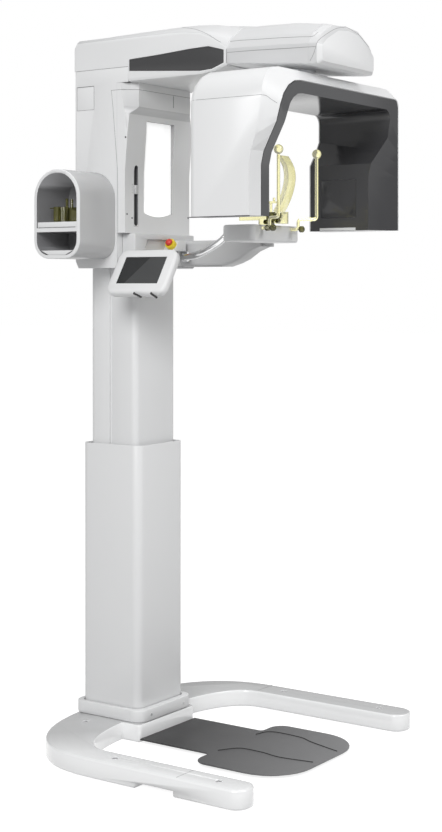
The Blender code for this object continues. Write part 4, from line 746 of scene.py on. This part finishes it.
def screws(name, places, axis, size, body, finish):
    radius, height = size
    head = bmesh.new()
    bmesh.ops.create_cone(
        head, cap_ends=True, segments=screwHead["sides"], radius1=radius, radius2=radius, depth=height,
    )
    bmesh.ops.translate(head, verts=head.verts, vec=(0, 0, height / 2))
    top = max(head.faces, key=lambda face: face.calc_center_median().z)
    chamfer, crown = radius * screwHead["chamfer"], radius * screwHead["crown"]
    bmesh.ops.inset_individual(head, faces=[top], thickness=chamfer, depth=crown)
    bmesh.ops.inset_individual(head, faces=[top], thickness=radius * screwHead["socketEdge"])
    bmesh.ops.translate(head, verts=top.verts, vec=(0, 0, -height * screwHead["socketDepth"]))
    shape = bpy.data.meshes.new(name + "Head")
    head.to_mesh(shape)
    head.free()
    turn = Vector(axis).to_track_quat("Z", "Y").to_matrix().to_4x4()
    bm = bmesh.new()
    for place in places:
        start = len(bm.verts)
        bm.from_mesh(shape)
        bm.verts.ensure_lookup_table()
        bmesh.ops.transform(bm, matrix=Matrix.Translation(place) @ turn, verts=bm.verts[start:])
    bpy.data.meshes.remove(shape)
    bmesh.ops.recalc_face_normals(bm, faces=bm.faces)
    return finishPiece(name, bm, body, finish, angle=30)


def blocks(name, corners, body, finish, edge=0.0006):
    bm = bmesh.new()
    for low, high in corners:
        made = bmesh.ops.create_cube(bm, size=1)["verts"]
        bmesh.ops.scale(bm, verts=made, vec=[b - a for a, b in zip(low, high)])
        bmesh.ops.translate(bm, verts=made, vec=[(a + b) / 2 for a, b in zip(low, high)])
    softenEdges(bm, edge)
    return finishPiece(name, bm, body, finish)


# Base

levelScrews = {
    "on": ((0.480, -0.690), (0.480, -0.304), (0.218, 0.028)),
    "level": 0.0567,
    "size": (0.0088, 0.0018),  # radius and height, as for all the screws
}
screws(
    "levelScrews", [(side * x, y, levelScrews["level"]) for x, y in levelScrews["on"] for side in (-1, 1)],
    (0, 0, 1), levelScrews["size"], "base", "screwSteel",
)
collarScrews = {"places": [(side * 0.090, -0.1470, 0.080) for side in (-1, 1)], "size": (0.0046, 0.0009)}
screws("collarScrews", collarScrews["places"], (0, -1, 0), collarScrews["size"], "base", "screwSteel")

footLines = {
    "near": ((-0.112, -0.431), (-0.054, -0.477), (-0.050, -0.558), (-0.062, -0.634), (-0.046, -0.746)),
    "far": ((0.106, -0.432), (0.160, -0.460), (0.160, -0.570), (0.134, -0.632), (0.096, -0.749)),
    "height": 0.0150,
    "width": 0.0046,
}
footPaths = [[(x, y, footLines["height"]) for x, y in footLines[side]] for side in ("near", "far")]
tube("footLines", [smoothLine(path) for path in footPaths], footLines["width"], "base", "belt_rubber")

baseSeams = {
    "width": 0.0014,
    "lines": [
        [(side * x, y, z) for x, z in ((0.524, 0.060), (0.515, 0.080), (0.470, 0.080), (0.430, 0.080))]
        for side, y in ((-1, -0.5695), (1, -0.225))  # one across each leg
    ],
}
tube("baseSeams", laidOn(("base_frame",), baseSeams["lines"]), baseSeams["width"], "base", "greySeam")
print("base details done")

# Cabinet

cabinetHalf = 0.180

cabinetSeams = {
    "width": 0.0014,
    "top": [(-cabinetHalf, 0.100, 2.2202), (-cabinetHalf, -0.1195, 2.2202)],
    "side": [
        (-cabinetHalf, y, z) for y, z in (
            (-0.0487, 2.1481), (-0.0559, 2.0882), (-0.0749, 1.8828),
            (-0.0761, 1.7839), (-0.0761, 1.6753), (-0.1060, 1.6753),
        )
    ],
    "band": [
        (-cabinetHalf, -0.0475, 2.147), (-cabinetHalf, -0.0905, 2.147),
        (-0.143, -0.136, 2.147), (0, -0.136, 2.147),
    ],
    "rear": [(-0.170, 0.110, 2.2202), (0, 0.110, 2.2202)],
}
tube(
    "cabinetSeams", bothSides([cabinetSeams[name] for name in ("top", "side", "band", "rear")]),
    cabinetSeams["width"], "carriage", "greySeam",
)
slotFrame = {
    "width": 0.0012,
    "x": (-0.1320, -0.1100),
    "z": (1.6985, 1.9015),
    "face": -0.1061,
    "ticks": {"x": (-0.1430, -0.1375), "z": (1.809, 1.818, 1.827, 1.835)},
}
(x0, x1), (z0, z1), tickEnds = slotFrame["x"], slotFrame["z"], slotFrame["ticks"]["x"]
slotLines = [[(x, slotFrame["face"], z) for x, z in ((x0, z0), (x1, z0), (x1, z1), (x0, z1), (x0, z0))]]
slotLines += [[(x, slotFrame["face"], z) for x in tickEnds] for z in slotFrame["ticks"]["z"]]
tube("slotFrame", slotLines, slotFrame["width"], "carriage", "greySeam")
panelScrews = {
    "front": [(x, -0.1060, z) for x, z in ((-0.1691, 1.7374), (-0.1424, 1.7252), (0.1724, 1.7366))],
    "side": [(-cabinetHalf, -0.1088, 1.9893)],
    "size": (0.0032, 0.0005),
}
screws("panelScrews", panelScrews["front"], (0, -1, 0), panelScrews["size"], "carriage", "darkSeamAndShade")
screws("sideScrew", panelScrews["side"], (-1, 0, 0), panelScrews["size"], "carriage", "darkSeamAndShade")
coverSeam = {"width": 0.0012, "topWidth": 0.0018, "y": (0.025, 0.098), "z": (2.088, 2.166)}
(y0, y1), (z0, z1) = coverSeam["y"], coverSeam["z"]
coverLines = [[(-cabinetHalf, y, z) for y, z in ((y0, z1), (y0, z0), (y1, z0), (y1, z1))]]
coverTop = [[(-cabinetHalf, y, z1) for y in (y0, y1)]]
tube("coverSeam", coverLines, coverSeam["width"], "carriage", "greySeam")
tube("coverTopSeam", coverTop, coverSeam["topWidth"], "carriage", "darkSeamAndShade")

# Accessory box, console and chin arm

# Painted shadow: dark lines in the gaps under the cabinet and the chin arm, and above the mirror
gapShadows = {
    "width": 0.0018,
    "lines": [
        [(0.085, -0.1270, 1.5655), (0.178, -0.1270, 1.5655)],  # under the cabinet
        [(0.1044, -0.185, 1.5688), (0.1024, -0.298, 1.5679)],  # under the chin arm
        [(0.0470, -0.1360, 2.104), (0.0470, -0.1360, 2.144)],  # upright, above the mirror
    ],
}
tube("gapShadows", gapShadows["lines"], gapShadows["width"], "carriage", "darkSeamAndShade")
# Painted shadow in the gaps under the trays' fronts
trayGapShadows = {
    "width": 0.0018,
    "upper": [(-0.3630, -0.048, 1.6902), (-0.3630, 0.108, 1.6902)],
    "lower": [(-0.3630, -0.004, 1.6000), (-0.3630, 0.065, 1.6000)],
}
tube("upperTrayGapShadow", [trayGapShadows["upper"]], trayGapShadows["width"], "upper_tray", "darkSeamAndShade")
tube("lowerTrayGapShadow", [trayGapShadows["lower"]], trayGapShadows["width"], "lower_tray", "darkSeamAndShade")
recessLine = {
    "width": 0.0012,
    "line": [(-0.099, -0.127, 1.627), (-0.083, -0.127, 1.655), (-0.006, -0.127, 1.657)],
}
tube("recessLine", [recessLine["line"]], recessLine["width"], "carriage", "greySeam")

panelFork = {
    "width": 0.0075,
    "prongs": [
        [(-0.2636, -0.2130, 1.4809), (-0.2781, -0.2202, 1.4768), (-0.2852, -0.2538, 1.4657)],
        [(-0.2636, -0.2810, 1.4809), (-0.2780, -0.2882, 1.4769), (-0.2860, -0.3169, 1.4645)],
    ],
}
tube("panelFork", panelFork["prongs"], panelFork["width"], "panel", "gloss_black")

# Clear plastic parts on the upper tray and round the chin rest

sparePosts = {
    "blocks": [  # low corner and high corner of each block
        ((-0.318, 0.063, 1.7085), (-0.300, 0.083, 1.7600)),
        ((-0.312, 0.080, 1.7545), (-0.305, 0.104, 1.7575)),
        ((-0.292, 0.045, 1.7085), (-0.278, 0.060, 1.7570)),
        ((-0.289, 0.049, 1.7570), (-0.282, 0.056, 1.7880)),
        ((-0.245, 0.045, 1.7085), (-0.228, 0.062, 1.7570)),
    ],
}
blocks("sparePosts", sparePosts["blocks"], "upper_tray", "clear_olive")
chinClamp = {
    "blocks": [
        ((-0.0400, -0.5960, 1.7060), (-0.0305, -0.5780, 1.7360)),
        ((-0.0380, -0.6200, 1.7150), (-0.0305, -0.6000, 1.7320)),
        ((-0.0370, -0.5740, 1.7120), (-0.0305, -0.5660, 1.7240)),
    ],
    "knobs": [(-0.0310, -0.5860, 1.7010), (-0.0310, -0.6100, 1.7080), (-0.0310, -0.5660, 1.7050)],
    "knobSize": (0.0075, 0.0120),
}
blocks("chinClamp", chinClamp["blocks"], "carriage", "clear_olive")
screws("chinClampKnobs", chinClamp["knobs"], (-1, 0, 0), chinClamp["knobSize"], "carriage", "clear_olive")
templeNut = {"place": (-0.0790, -0.6030, 1.6840), "size": (0.0095, 0.0110)}
screws("templeNut", [templeNut["place"]], (-1, 0, 0), templeNut["size"], "carriage", "clear_olive")

# Arm

armSeams = {
    "width": 0.0014,
    "lines": [
        [
            (-0.1128, -0.2889, 2.3410), (-0.1453, -0.3444, 2.3288), (-0.1687, -0.3967, 2.3137),
            (-0.1750, -0.4362, 2.2965), (-0.1786, -0.4658, 2.2791), (-0.1776, -0.4881, 2.2668),
        ],
        [
            (-0.1622, -0.5120, 2.2700), (-0.1613, -0.5492, 2.2694), (-0.1621, -0.6246, 2.2666),
            (-0.1626, -0.6985, 2.2638), (-0.1616, -0.7701, 2.2605), (-0.1597, -0.8118, 2.2582),
            (-0.1434, -0.8232, 2.2711),
        ],
        [
            (-0.1800, -0.5120, 2.2327), (-0.1780, -0.5979, 2.2312), (-0.1771, -0.6896, 2.2283),
            (-0.1757, -0.7789, 2.2253), (-0.1722, -0.8336, 2.2240),
        ],
        [(-0.1800, -0.5102, 2.200), (-0.1800, -0.5102, 2.243)],
    ],
    "nose": [
        (-0.1739, -0.8134, 2.1817), (-0.1732, -0.8236, 2.1991), (-0.1724, -0.8319, 2.2196),
        (-0.1660, -0.8369, 2.2411), (-0.1327, -0.8415, 2.2633), (-0.0753, -0.8428, 2.2892),
        (0, -0.8360, 2.3060),
    ],
    "on": ("arm_shell", "arm_front_shell", "arm_nose_cap"),
}
tube(
    "armSeams", laidOn(armSeams["on"], bothSides(armSeams["lines"] + [armSeams["nose"]])),
    armSeams["width"], "carriage", "greySeam",
)
print("carriage details done")

# Rotating unit

gantrySeams = {
    "width": 0.0013,
    "shoulder": [
        (-0.4000, -0.5213, 2.0598), (-0.4000, -0.6557, 2.0598), (-0.4000, -0.7750, 2.0598),
        (-0.3985, -0.7880, 2.0592), (-0.3827, -0.7906, 2.0579), (-0.3675, -0.7982, 2.0486),
        (-0.3491, -0.8072, 2.0381),
    ],
}
shoulderLine = laidOn(("gantry_shell",), [gantrySeams["shoulder"]])
tube("gantrySeams", shoulderLine, gantrySeams["width"], "gantry", "greySeam")
unitEdges = {
    "stripWidth": 0.0032,
    "strip": [(-0.3985, -0.525, 1.7072), (-0.3985, -0.743, 1.7072)],
    "lip": ((0.2985, -0.700, 1.6860), (0.3005, -0.562, 1.6950)),
    "lipEdge": 0.0004,
}
# Painted shadow: a dark line in the gap at the left unit's bottom cover
tube("unitGapShadow", [unitEdges["strip"]], unitEdges["stripWidth"], "gantry", "darkSeamAndShade")
blocks("unitLip", [unitEdges["lip"]], "gantry", "white_cover", unitEdges["lipEdge"])
print("gantry details done")
